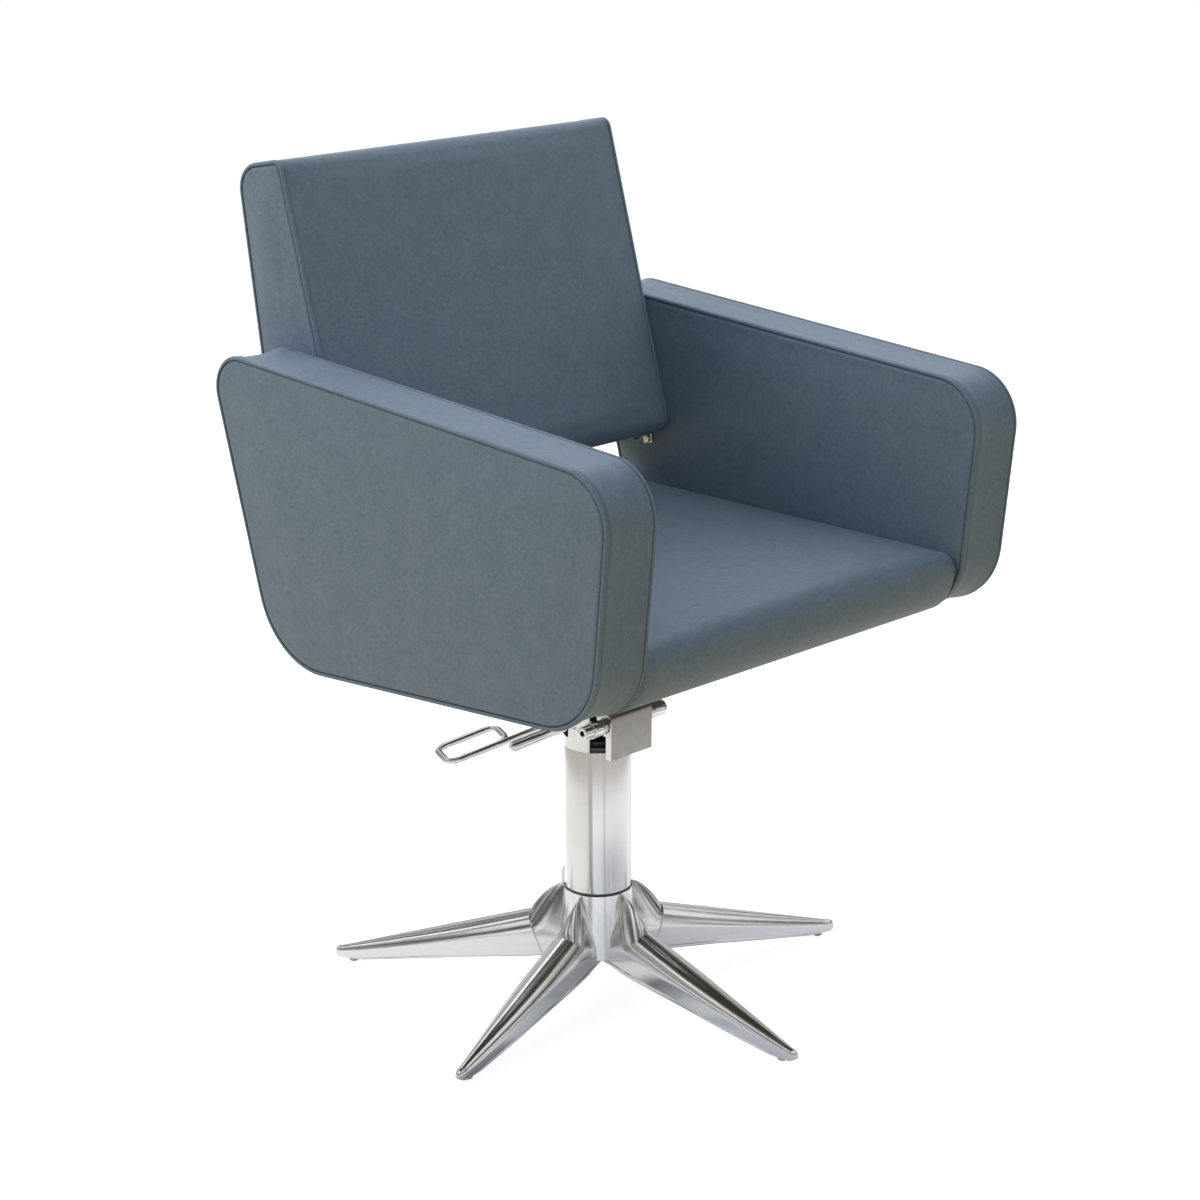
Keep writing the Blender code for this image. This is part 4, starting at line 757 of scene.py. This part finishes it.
cover("arm_cover_right", "arm_pad_right", ARM_CORNERS, ARM_RADII, -ARM_OUTER, -ARM_INNER,
      (ARM_OUTER_CROWN, ARM_INNER_CROWN), ARM_BAND, no_swell, pressure=2.0, cap=0.0016)
cover("arm_cover_left", "arm_pad_left", ARM_CORNERS, ARM_RADII, ARM_INNER, ARM_OUTER,
      (ARM_INNER_CROWN, ARM_OUTER_CROWN), ARM_BAND, no_swell, pressure=2.0, cap=0.0016)
cover("back_cover", "back_pad", BACK_CORNERS, BACK_RADII, -BACK_EDGE, BACK_EDGE, (0.0008, 0.0008),
      CUSHION_BAND, back_swell, pressure=4.0, cap=0.0045)
cover("seat_cover", "seat_cushion", SEAT_CORNERS, SEAT_RADII, -SEAT_EDGE, SEAT_EDGE, (0.0002, 0.0002),
      CUSHION_BAND, seat_swell, pressure=4.0, cap=0.0045, rest=SEAT_REST, sewn=False)


# Cast base

LEG_ANGLES = [51.96 + 72 * k for k in range(5)]
LEG_REACH = 0.3130
ROOT_REACH = 0.0800
ROOT_WIDTH = 0.0465
TIP_WIDTH = 0.0125
ROOT_TOP = 0.0808
ROOT_BOTTOM = 0.0335
TIP_TOP = 0.0180
TIP_ROUND = 0.0100
TIP_ANGLES = (12, 24, 36, 48, 60, 70, 79, 86)
SIDE_BOW = 1.70
LIP_SHARE = 0.045
CREASE_LEAN = 0.0200
CREASE_STEP = 0.0007
SHOULDER_STEPS = 13
LEG_STEPS = 30
ARCH_STEPS = 44
HOLLOW_STEPS = 12
HOLLOW_START = 0.03           # of the way from a leg's root to its tip
HOLLOW_LENGTH = 0.76
LEAN_SHARES = (0, 0.08, 0.3)  # of the same way, where this much of the crease's lean is left
LEAN_LEFT = (1, 0.9, 0)
SPRING_SHARE = 0.45           # where a section's arch springs, between its bottom and its top
SHOULDER_SQUARENESS = 1.15    # 1 makes a pointed roof and 2 a round arch
CREASE_SQUARENESS = 1.9
LEG_SQUARENESS = 2.1
HUB_RADIUS = 0.0396
HUB_FOOT_RADIUS = 0.0450
HUB_BOTTOM = 0.0410
HUB_TOP = 0.1185
HUB_EDGE = 0.0006             # eased off its top
HUB_FOOT_EDGE = 0.0010
LEG_FOOT = 0.0048
FOOT_REACH = 0.2800
LEG_WALL = 0.0060
BUSH_BORE = 0.0216
BUSH_LEDGE = 0.0033           # below the top of the bush's flange
NUT_RECESS = 0.0261
CUT_PAST = 0.0200             # how far a cut runs on past a face
CAST_SHARP = 15               # degrees between faces that meet in an edge
STREAK_DROP = 0.6             # how much the streaks' map moves on down a side


def leg_section(reach, width, top, bottom, squareness, spring, lean=0.0):
    """An arch over a slightly wider lower lip, across a leg."""
    half = width / 2
    lip = width * LIP_SHARE
    points = [(half - lip, bottom), (half - 0.25 * lip, bottom + 0.3 * lip), (half, bottom + lip),
              (half - 0.1 * lip, bottom + 1.6 * lip), (half - 0.6 * lip, bottom + 2.3 * lip)]
    lip_points = len(points)
    for step in range(ARCH_STEPS + 1):
        angle = math.pi * step / ARCH_STEPS
        across = math.copysign(abs(math.cos(angle)) ** (2 / squareness), math.cos(angle))
        points.append(((half - lip) * across, spring + (top - spring) * math.sin(angle) ** (2 / squareness)))
    points += [(-across, height) for across, height in reversed(points[:lip_points])]
    return [(reach - lean * (top - height) / (top - bottom), across, height) for across, height in points]


def leg_arch(reach, width, top, bottom, lean=0.0):
    """A section of the leg past the shoulder's crease."""
    spring = bottom + (top - bottom) * SPRING_SHARE
    return leg_section(reach, width, top, bottom, LEG_SQUARENESS, spring, lean)


def leg_taper(share):
    """(reach, width, top, bottom) at a share of the way from the leg's root to its tip."""
    tip_reach = LEG_REACH - TIP_ROUND
    reach = ROOT_REACH + (tip_reach - ROOT_REACH) * share
    width = ROOT_WIDTH + (TIP_WIDTH - ROOT_WIDTH) * share ** SIDE_BOW
    top = ROOT_TOP + (TIP_TOP - ROOT_TOP) * share
    fall = min(1.0, (reach - ROOT_REACH) / (FOOT_REACH - ROOT_REACH))
    return reach, width, top, ROOT_BOTTOM + (LEG_FOOT - ROOT_BOTTOM) * fall


def shoulder_rings():
    """Sections from inside the hub down the shoulder's facet to its crease."""
    rise = HUB_TOP - ROOT_TOP
    foot_rise = HUB_BOTTOM - ROOT_BOTTOM
    spring = ROOT_BOTTOM + (ROOT_TOP - ROOT_BOTTOM) * SPRING_SHARE
    rings = [leg_section(HUB_RADIUS * 0.4, ROOT_WIDTH * 0.9, HUB_TOP - rise * 0.03,
                         ROOT_BOTTOM + foot_rise * 0.8, SHOULDER_SQUARENESS, spring)]
    for k in range(SHOULDER_STEPS):
        run = k / SHOULDER_STEPS
        reach = HUB_RADIUS + (ROOT_REACH - HUB_RADIUS) * run
        width = ROOT_WIDTH * (0.94 + 0.02 * run)
        top = HUB_TOP - rise * (0.04 + 0.96 * run ** 1.65)
        bottom = ROOT_BOTTOM + foot_rise * 0.4 * (1 - run)
        squareness = SHOULDER_SQUARENESS + 0.6 * run ** 1.3
        rings.append(leg_section(reach, width, top, bottom, squareness, spring, CREASE_LEAN * run))
    rings.append(leg_section(ROOT_REACH - CREASE_STEP, ROOT_WIDTH * 0.96, ROOT_TOP - CREASE_STEP, ROOT_BOTTOM,
                             CREASE_SQUARENESS, spring, CREASE_LEAN))
    return rings


def leg_rings():
    """Sections from inside the hub, over the shoulder and its crease and out to the rounded tip."""
    rings = shoulder_rings()
    for k in range(LEG_STEPS + 1):
        share = k / LEG_STEPS
        lean = CREASE_LEAN * float(np.interp(share, LEAN_SHARES, LEAN_LEFT))
        reach, width, top, bottom = leg_taper(share)
        rings.append(leg_arch(reach, width, top, bottom, lean))
    for angle in TIP_ANGLES:
        out, narrow = math.sin(math.radians(angle)), math.cos(math.radians(angle))
        tip_top = bottom + (top - bottom) * (SPRING_SHARE + (1 - SPRING_SHARE) * narrow)
        tip_bottom = bottom + (top - bottom) * 0.40 * (1 - narrow)
        rings.append(leg_arch(reach + (LEG_REACH - reach) * out, width * narrow, tip_top, tip_bottom))
    return rings


def leg_hollow_rings():
    """The channel under a leg, which leaves a wall of even thickness."""
    rings = []
    for k in range(HOLLOW_STEPS + 1):
        reach, width, top, bottom = leg_taper(HOLLOW_START + HOLLOW_LENGTH * k / HOLLOW_STEPS)
        roof = top - LEG_WALL
        spring = bottom + (roof - bottom) * SPRING_SHARE
        inside = width - 2 * LEG_WALL
        rings.append(leg_section(reach, inside, roof, bottom - LEG_WALL, LEG_SQUARENESS, spring))
    return rings


def lay_streaks(mesh):
    """A map that runs along each leg, for the polishing streaks."""
    uv = mesh.uv_layers.new(name="along_leg")
    angles = np.radians(LEG_ANGLES)
    for loop in mesh.loops:
        spot = mesh.vertices[loop.vertex_index].co
        x, y = spot.x, spot.y - COLUMN_Y
        turn = math.atan2(y, x)
        off = min(((turn - a + math.pi) % (2 * math.pi) - math.pi for a in angles), key=abs)
        reach = math.hypot(x, y)
        uv.data[loop.index].uv = (reach * math.cos(off), reach * math.sin(off) + spot.z * STREAK_DROP)


def build_base():
    """Hub and legs as one casting, hollow under the legs and bored for the bush and the nut."""
    name = "star_base_surface"
    hub = [(0, HUB_TOP), (HUB_RADIUS - HUB_EDGE, HUB_TOP), (HUB_RADIUS, HUB_TOP - HUB_EDGE),
           (HUB_FOOT_RADIUS, HUB_BOTTOM + HUB_FOOT_EDGE), (HUB_FOOT_RADIUS - HUB_FOOT_EDGE, HUB_BOTTOM),
           (0, HUB_BOTTOM)]
    base = piece(name, turned_mesh(name, hub, CASTING, closed=False), "base", ["star_base"])
    legs = []
    for k, angle in enumerate(LEG_ANGLES):
        turn = Matrix.Translation((0, COLUMN_Y, 0)) @ Matrix.Rotation(math.radians(angle), 4, "Z")
        leg = lofted(f"leg_{k + 1}", leg_rings(), turn, CASTING)
        combine(leg, [lofted(f"leg_hollow_{k + 1}", leg_hollow_rings(), turn, CASTING)], "DIFFERENCE")
        legs.append(leg)
    combine(base, legs, "UNION")
    bush_low, bush_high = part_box("hub_bush")
    ledge_radius = bush_high.x + CLEARANCE
    ledge = bush_high.z - BUSH_LEDGE
    recess_top = bush_low.z - CLEARANCE
    bore = [(0, HUB_TOP + CUT_PAST), (ledge_radius, HUB_TOP + CUT_PAST), (ledge_radius, ledge),
            (BUSH_BORE, ledge), (BUSH_BORE, recess_top), (NUT_RECESS, recess_top), (NUT_RECESS, 0), (0, 0)]
    bore_tool = piece("hub_bore", turned_mesh("hub_bore", bore, CASTING, steps=96, closed=False))
    mesh = combine(base, [bore_tool], "DIFFERENCE")
    mesh.name = name
    mesh.shade_smooth()
    mesh.set_sharp_from_angle(angle=math.radians(CAST_SHARP))
    lay_streaks(mesh)


build_base()


# Column, head and mechanism

EDGE_ROUND = 0.0005
FLANGE_RADIUS = 0.0580
FLANGE_THICKNESS = 0.0060
WINDOW_HALF = 0.03325
WINDOW_FRONT = 0.0800         # forward of the column axis, past the head
WINDOW_BACK = 0.0120
WINDOW_HEIGHT = 0.0600
SLOT_HALF = 0.0080
SLOT_START, SLOT_END = 0.0180, 0.0800
SLOT_LOW, SLOT_HIGH = 0.30306, 0.3346
LEVER_PIVOT = Vector((-0.0299, COLUMN_Y + 0.0139, HEAD_LOW + 0.0250))
LEVER_FRAME = Matrix.LocRotScale(LEVER_PIVOT, Euler((0, math.radians(15), LEVER_HEADING)), None)
STIRRUP_BAR = 0.0080
STIRRUP_THICKNESS = 0.0065
STIRRUP_MIDDLE = 0.0063 + STIRRUP_THICKNESS / 2
STIRRUP_START, STIRRUP_REACH = 0.0690, 0.1490
STIRRUP_FAR_SIDE = -0.0535
STIRRUP_ROUND = 0.0136
BAR_STEPS = 20
BAR_ROUND = 0.72              # 1 makes an oval bar, less a squarer one
TAIL_START, TAIL_END = 0.0300, 0.1040
TAIL_SIZE = 0.995             # a little thinner than the loop, so that no two faces coincide
SHAFT_SOCKET_RADIUS = 0.0030


def build_tube():
    bore = TUBE_RADIUS - TUBE_WALL
    profile = eased([(bore, TUBE_HIGH), (TUBE_RADIUS, TUBE_HIGH), (TUBE_RADIUS, TUBE_LOW), (bore, TUBE_LOW)],
                    EDGE_ROUND)
    tube = turned_mesh("column_tube_surface", profile, SATIN)
    piece("column_tube_surface", tube, "chair", ["column_tube"])


def build_head():
    """The pump head with its flange, its front window and the slot for the lever."""
    name = "pump_head_surface"
    bore = HEAD_RADIUS - HEAD_WALL
    ledge = HEAD_HIGH - FLANGE_THICKNESS
    profile = eased([(bore, HEAD_HIGH), (FLANGE_RADIUS, HEAD_HIGH), (FLANGE_RADIUS, ledge),
                     (HEAD_RADIUS, ledge), (HEAD_RADIUS, HEAD_LOW), (bore, HEAD_LOW)], EDGE_ROUND)
    head = piece(name, turned_mesh(name, profile, SATIN), "chair", ["pump_head"])
    window = block_tool("head_window", (-WINDOW_HALF, COLUMN_Y - WINDOW_FRONT, HEAD_LOW + CLEARANCE),
                        (WINDOW_HALF, COLUMN_Y - WINDOW_BACK, HEAD_LOW + WINDOW_HEIGHT))
    heading = Matrix.Translation((0, COLUMN_Y, 0)) @ Matrix.Rotation(LEVER_HEADING, 4, "Z")
    slot = block_tool("lever_slot", (SLOT_START, -SLOT_HALF, SLOT_LOW), (SLOT_END, SLOT_HALF, SLOT_HIGH),
                      heading)
    mesh = combine(head, [window, slot], "DIFFERENCE")
    mesh.set_sharp_from_angle(angle=math.radians(35))


def bar_section(centre, side, size=1.0):
    """The bar's own rounded section about a centre, in the lever's frame."""
    ring = []
    for k in range(BAR_STEPS):
        angle = 2 * math.pi * k / BAR_STEPS
        across, up = (math.copysign(abs(f(angle)) ** BAR_ROUND, f(angle)) for f in (math.cos, math.sin))
        out = side * across * size * STIRRUP_BAR / 2
        ring.append(centre + out + Vector((0, 0, up * size * STIRRUP_THICKNESS / 2)))
    return ring


def build_stirrup():
    """Foot loop bent from a flat bar with round edges, and its straight tail on the rod."""
    name = "lever_stirrup_surface"
    half = STIRRUP_BAR / 2
    near, far, side = STIRRUP_START + half, STIRRUP_REACH - half, STIRRUP_FAR_SIDE + half
    path = outline([(near, 0), (far, 0), (far, side), (near, side)], [STIRRUP_ROUND] * 4, spacing=0.004)
    sides, _ = outline_frame(path)
    rings = [[LEVER_FRAME @ p for p in bar_section(Vector((*spot, STIRRUP_MIDDLE)), Vector((*out, 0)))]
             for spot, out in zip(path, sides)]
    bm = bmesh.new()
    rows = skin(bm, rings, ends=False)
    for i in range(BAR_STEPS):
        j = (i + 1) % BAR_STEPS
        bm.faces.new((rows[-1][i], rows[-1][j], rows[0][j], rows[0][i]))
    loop = piece(name, finish_mesh(bm, name, CHROME, sharp=60), "lever", ["lever_stirrup"])
    stations = [(TAIL_START, 0.55), (TAIL_START + 0.0006, 0.82), (TAIL_START + 0.002, 1.0),
                (TAIL_END - 0.002, 1.0), (TAIL_END, 0.6)]
    sections = [bar_section(Vector((x, 0, STIRRUP_MIDDLE)), Vector((0, 1, 0)), size * TAIL_SIZE)
                for x, size in stations]
    mesh = combine(loop, [lofted("stirrup_tail", sections, LEVER_FRAME, CHROME)], "UNION")
    mesh.shade_smooth()
    mesh.set_sharp_from_angle(angle=math.radians(40))


def build_treadle():
    """The treadle with polished edges, and its shaft with painted shade, in dark steel, inside the socket in
    each end.
    """
    treadle = refined("treadle", PLATE, width=0.0008, segments=3)
    treadle.data.materials.append(SATIN)
    for face in treadle.data.polygons:
        face.material_index = int(abs(face.normal.x) > 0.9)
    shaft = refined("cross_shaft", CHROME, width=0.0006)
    shaft.data.materials.append(DARK_STEEL)
    low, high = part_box("cross_shaft")
    axis = (low + high) / 2
    # Faces inside each end's socket take the dark steel as painted shade in the hole
    for face in shaft.data.polygons:
        spots = [shaft.data.vertices[i].co - axis for i in face.vertices]
        face.material_index = int(all(spot.yz.length < SHAFT_SOCKET_RADIUS + CLEARANCE for spot in spots))
    refined("shaft_crank", CHROME, width=0.0008)


build_tube()
build_head()
build_treadle()
refined("lever_rod", CHROME, width=0.0)
build_stirrup()
refined("lever_pin", CHROME, width=0.0003)
refined("mounting_plate", DARK_STEEL, width=0.0005)
for word in ("right", "left"):
    refined(f"back_bracket_{word}", NICKEL, width=0.0004)
    refined(f"arm_screw_{word}", NICKEL, width=0.0005)
    refined(f"back_screw_{word}", DARK_STEEL, width=0.0005)
for number in range(1, 6):
    refined(f"floor_glide_{number}", NYLON, width=0.0005)


# Studio

WHITE = (1.0, 1.0, 1.0)
# Painted reflections: tones of the floor round the column, by shares of a turn, that the metal shows for the
# light and dark things round a studio
PAINTED_REFLECTION_TONES = [(0.000, (0.84, 0.83, 0.80)), (0.030, (0.78, 0.78, 0.76)), (0.045, (0.46, 0.46, 0.47)),
               (0.066, (0.50, 0.50, 0.52)), (0.078, WHITE), (0.170, WHITE), (0.177, (0.66, 0.68, 0.74)),
               (0.186, (0.74, 0.76, 0.80)), (0.200, WHITE), (0.540, WHITE), (0.575, (0.46, 0.46, 0.47)),
               (0.630, (0.40, 0.40, 0.42)), (0.665, (0.70, 0.70, 0.71)), (0.700, WHITE), (0.745, WHITE),
               (0.762, (0.86, 0.85, 0.81)), (0.970, (0.84, 0.82, 0.78))]
# Painted shade: how much darker the metal shows the floor close to the base, round the same turn
SHADE_TONES = [(0.00, (0.80, 0.80, 0.80)), (0.16, (0.76, 0.76, 0.76)), (0.27, (0.58, 0.57, 0.59)),
               (0.42, (0.58, 0.57, 0.59)), (0.60, (0.76, 0.76, 0.76)), (0.90, (0.82, 0.82, 0.82))]
NEAR_FLOOR = 0.32             # within this radius the metal shows the floor mostly as it is lit
OPEN_FLOOR = 0.50             # from here on it shows the floor mostly as bright, a painted glow in those tones
ROOM_EDGE = 0.94              # from here to a radius of 1 m that fades to a painted far room
# (height from straight down to straight up, brightness) of the room that the metal shows
ROOM_TONES = ((0.48, 0.85), (0.54, 0.62), (0.60, 0.50), (0.72, 0.42), (0.84, 0.74), (0.92, 1.0))
CAMERA_TILT = math.radians(90 - 17.6759)
CAMERA_TURN = math.radians(-45.5775)


def studio_floor():
    """Pale floor: white to the camera, streaked in the metal with painted reflections in the room's tones and
    painted shade near the base, warm in its bounce.
    """
    bm = bmesh.new()
    bmesh.ops.create_grid(bm, x_segments=2, y_segments=2, size=9.0)
    s = Shader("studio_floor")
    s.tree.nodes.remove(s.bsdf)
    pale = s.add("ShaderNodeBsdfDiffuse", in_Color=(0.40, 0.37, 0.34, 1))
    glow = s.add("ShaderNodeEmission", in_Strength=0.87)
    shown = s.add("ShaderNodeAddShader")
    s.link(pale.outputs[0], shown.inputs[0])
    s.link(glow.outputs[0], shown.inputs[1])
    # Only glossy rays see these painted reflections and the painted shade near the base
    turn = s.gradient("RADIAL")
    tones = s.ramp(turn, PAINTED_REFLECTION_TONES)
    lit = s.add("ShaderNodeBsdfDiffuse")
    s.link(s.times(tones, s.ramp(turn, SHADE_TONES)), lit.inputs["Color"])
    bright = s.add("ShaderNodeEmission")
    s.link(tones, bright.inputs["Color"])
    far_room = s.add("ShaderNodeEmission", in_Color=(0.50, 0.48, 0.45, 1))
    nearness = s.gradient("SPHERICAL")
    clear = s.span(nearness, 0.12, 0.80, 1 - NEAR_FLOOR, 1 - OPEN_FLOOR)
    far = s.span(nearness, 0.0, 1.0, 1 - ROOM_EDGE, 0.0)
    mirrored = s.mix(far, s.mix(clear, lit.outputs[0], bright.outputs[0]), far_room.outputs[0])
    warm = s.add("ShaderNodeBsdfDiffuse", in_Color=(0.76, 0.63, 0.34, 1))
    path = s.add("ShaderNodeLightPath")
    unseen = s.mix(path.outputs["Is Glossy Ray"], warm.outputs[0], mirrored)
    whole = s.mix(path.outputs["Is Camera Ray"], unseen, shown.outputs[0])
    s.link(whole, s.tree.nodes["Material Output"].inputs["Surface"])
    floor = piece("studio_floor", finish_mesh(bm, "studio_floor", s.mat))


def studio_world():
    """White to the camera, a patchy room in the metal, and an even cool light for the rest."""
    world = bpy.data.worlds.new("studio")
    bpy.context.scene.world = world
    world.use_nodes = True
    w = Nodes(world.node_tree)
    w.tree.nodes.clear()
    where = w.add("ShaderNodeTexCoord").outputs["Generated"]
    split = w.add("ShaderNodeSeparateXYZ")
    w.link(where, split.inputs[0])
    height = w.span(split.outputs["Z"], 0.0, 1.0, -1.0, 1.0)
    tones = [(place, (level, level * 0.985, level * (0.84 + 0.18 * place))) for place, level in ROOM_TONES]
    patches = w.noise(where, 4.2, 3.0, 0.5)
    room = w.add("ShaderNodeBackground")
    w.link(w.ramp(height, tones), room.inputs["Color"])
    w.link(w.span(patches, 0.16, 1.55, 0.42, 0.60), room.inputs["Strength"])
    soft = w.add("ShaderNodeBackground", in_Color=(0.80, 0.955, 1.18, 1), in_Strength=0.395)
    white = w.add("ShaderNodeBackground", in_Color=(*WHITE, 1))
    path = w.add("ShaderNodeLightPath")
    unseen = w.mix(path.outputs["Is Glossy Ray"], soft.outputs[0], room.outputs[0])
    whole = w.mix(path.outputs["Is Camera Ray"], unseen, white.outputs[0])
    output = w.add("ShaderNodeOutputWorld")
    w.link(whole, output.inputs["Surface"])


def soft_light(name, place, target, size, power, colour, spread=180):
    """A soft box that lights the object; the metal shows the painted room instead of it."""
    data = bpy.data.lights.new(name, "AREA")
    data.spread = math.radians(spread)
    data.shape = "RECTANGLE"
    data.size, data.size_y = size
    data.energy = power
    data.color = colour
    obj = bpy.data.objects.new(name, data)
    obj.location = place
    obj.visible_camera = False
    obj.visible_glossy = False
    obj.rotation_euler = (Vector(target) - Vector(place)).to_track_quat("-Z", "Y").to_euler()
    bpy.context.scene.collection.objects.link(obj)


def studio_camera():
    data = bpy.data.cameras.new("photo_view")
    data.sensor_width = 36
    data.lens = 85.278
    data.shift_x = -0.0024
    data.shift_y = 0.03426
    data.clip_end = 60
    obj = bpy.data.objects.new("photo_view", data)
    obj.location = (-2.1482, -2.0994, 1.3697)
    obj.rotation_euler = (CAMERA_TILT, 0, CAMERA_TURN)
    bpy.context.scene.collection.objects.link(obj)
    bpy.context.scene.camera = obj


studio_floor()
studio_world()
soft_light("left_box", (-2.8, 1.6, 2.2), (0, 0, 0.6), (2.6, 2.0), 43, (0.98, 1.0, 1.06))
soft_light("rear_box", (-0.45, 2.05, 2.1), (0, 0, 0.7), (2.6, 1.8), 57, (1.0, 0.99, 0.98))
soft_light("rear_right_box", (0.9, 2.05, 2.1), (0, 0, 0.7), (2.6, 1.8), 60, (1.0, 0.99, 0.96))
soft_light("right_box", (2.2, 0.6, 2.4), (0, 0, 0.6), (2.0, 2.0), 17.5, (1.0, 0.98, 0.94))
soft_light("top_box", (0.3, -0.2, 3.0), (0, 0, 0.5), (1.6, 1.6), 12, (1.0, 0.98, 0.94))
soft_light("front_box", (-0.3, -2.2, 0.25), (0, -0.2, 0.55), (2.4, 0.5), 3.7, (1.0, 0.79, 0.32))
soft_light("back_fill", (0.0, -2.0, 1.75), (0, 0.2, 0.80), (0.5, 0.4), 0.29, (0.95, 1.0, 1.05), 30)
studio_camera()
bpy.context.scene.view_settings.view_transform = "Standard"
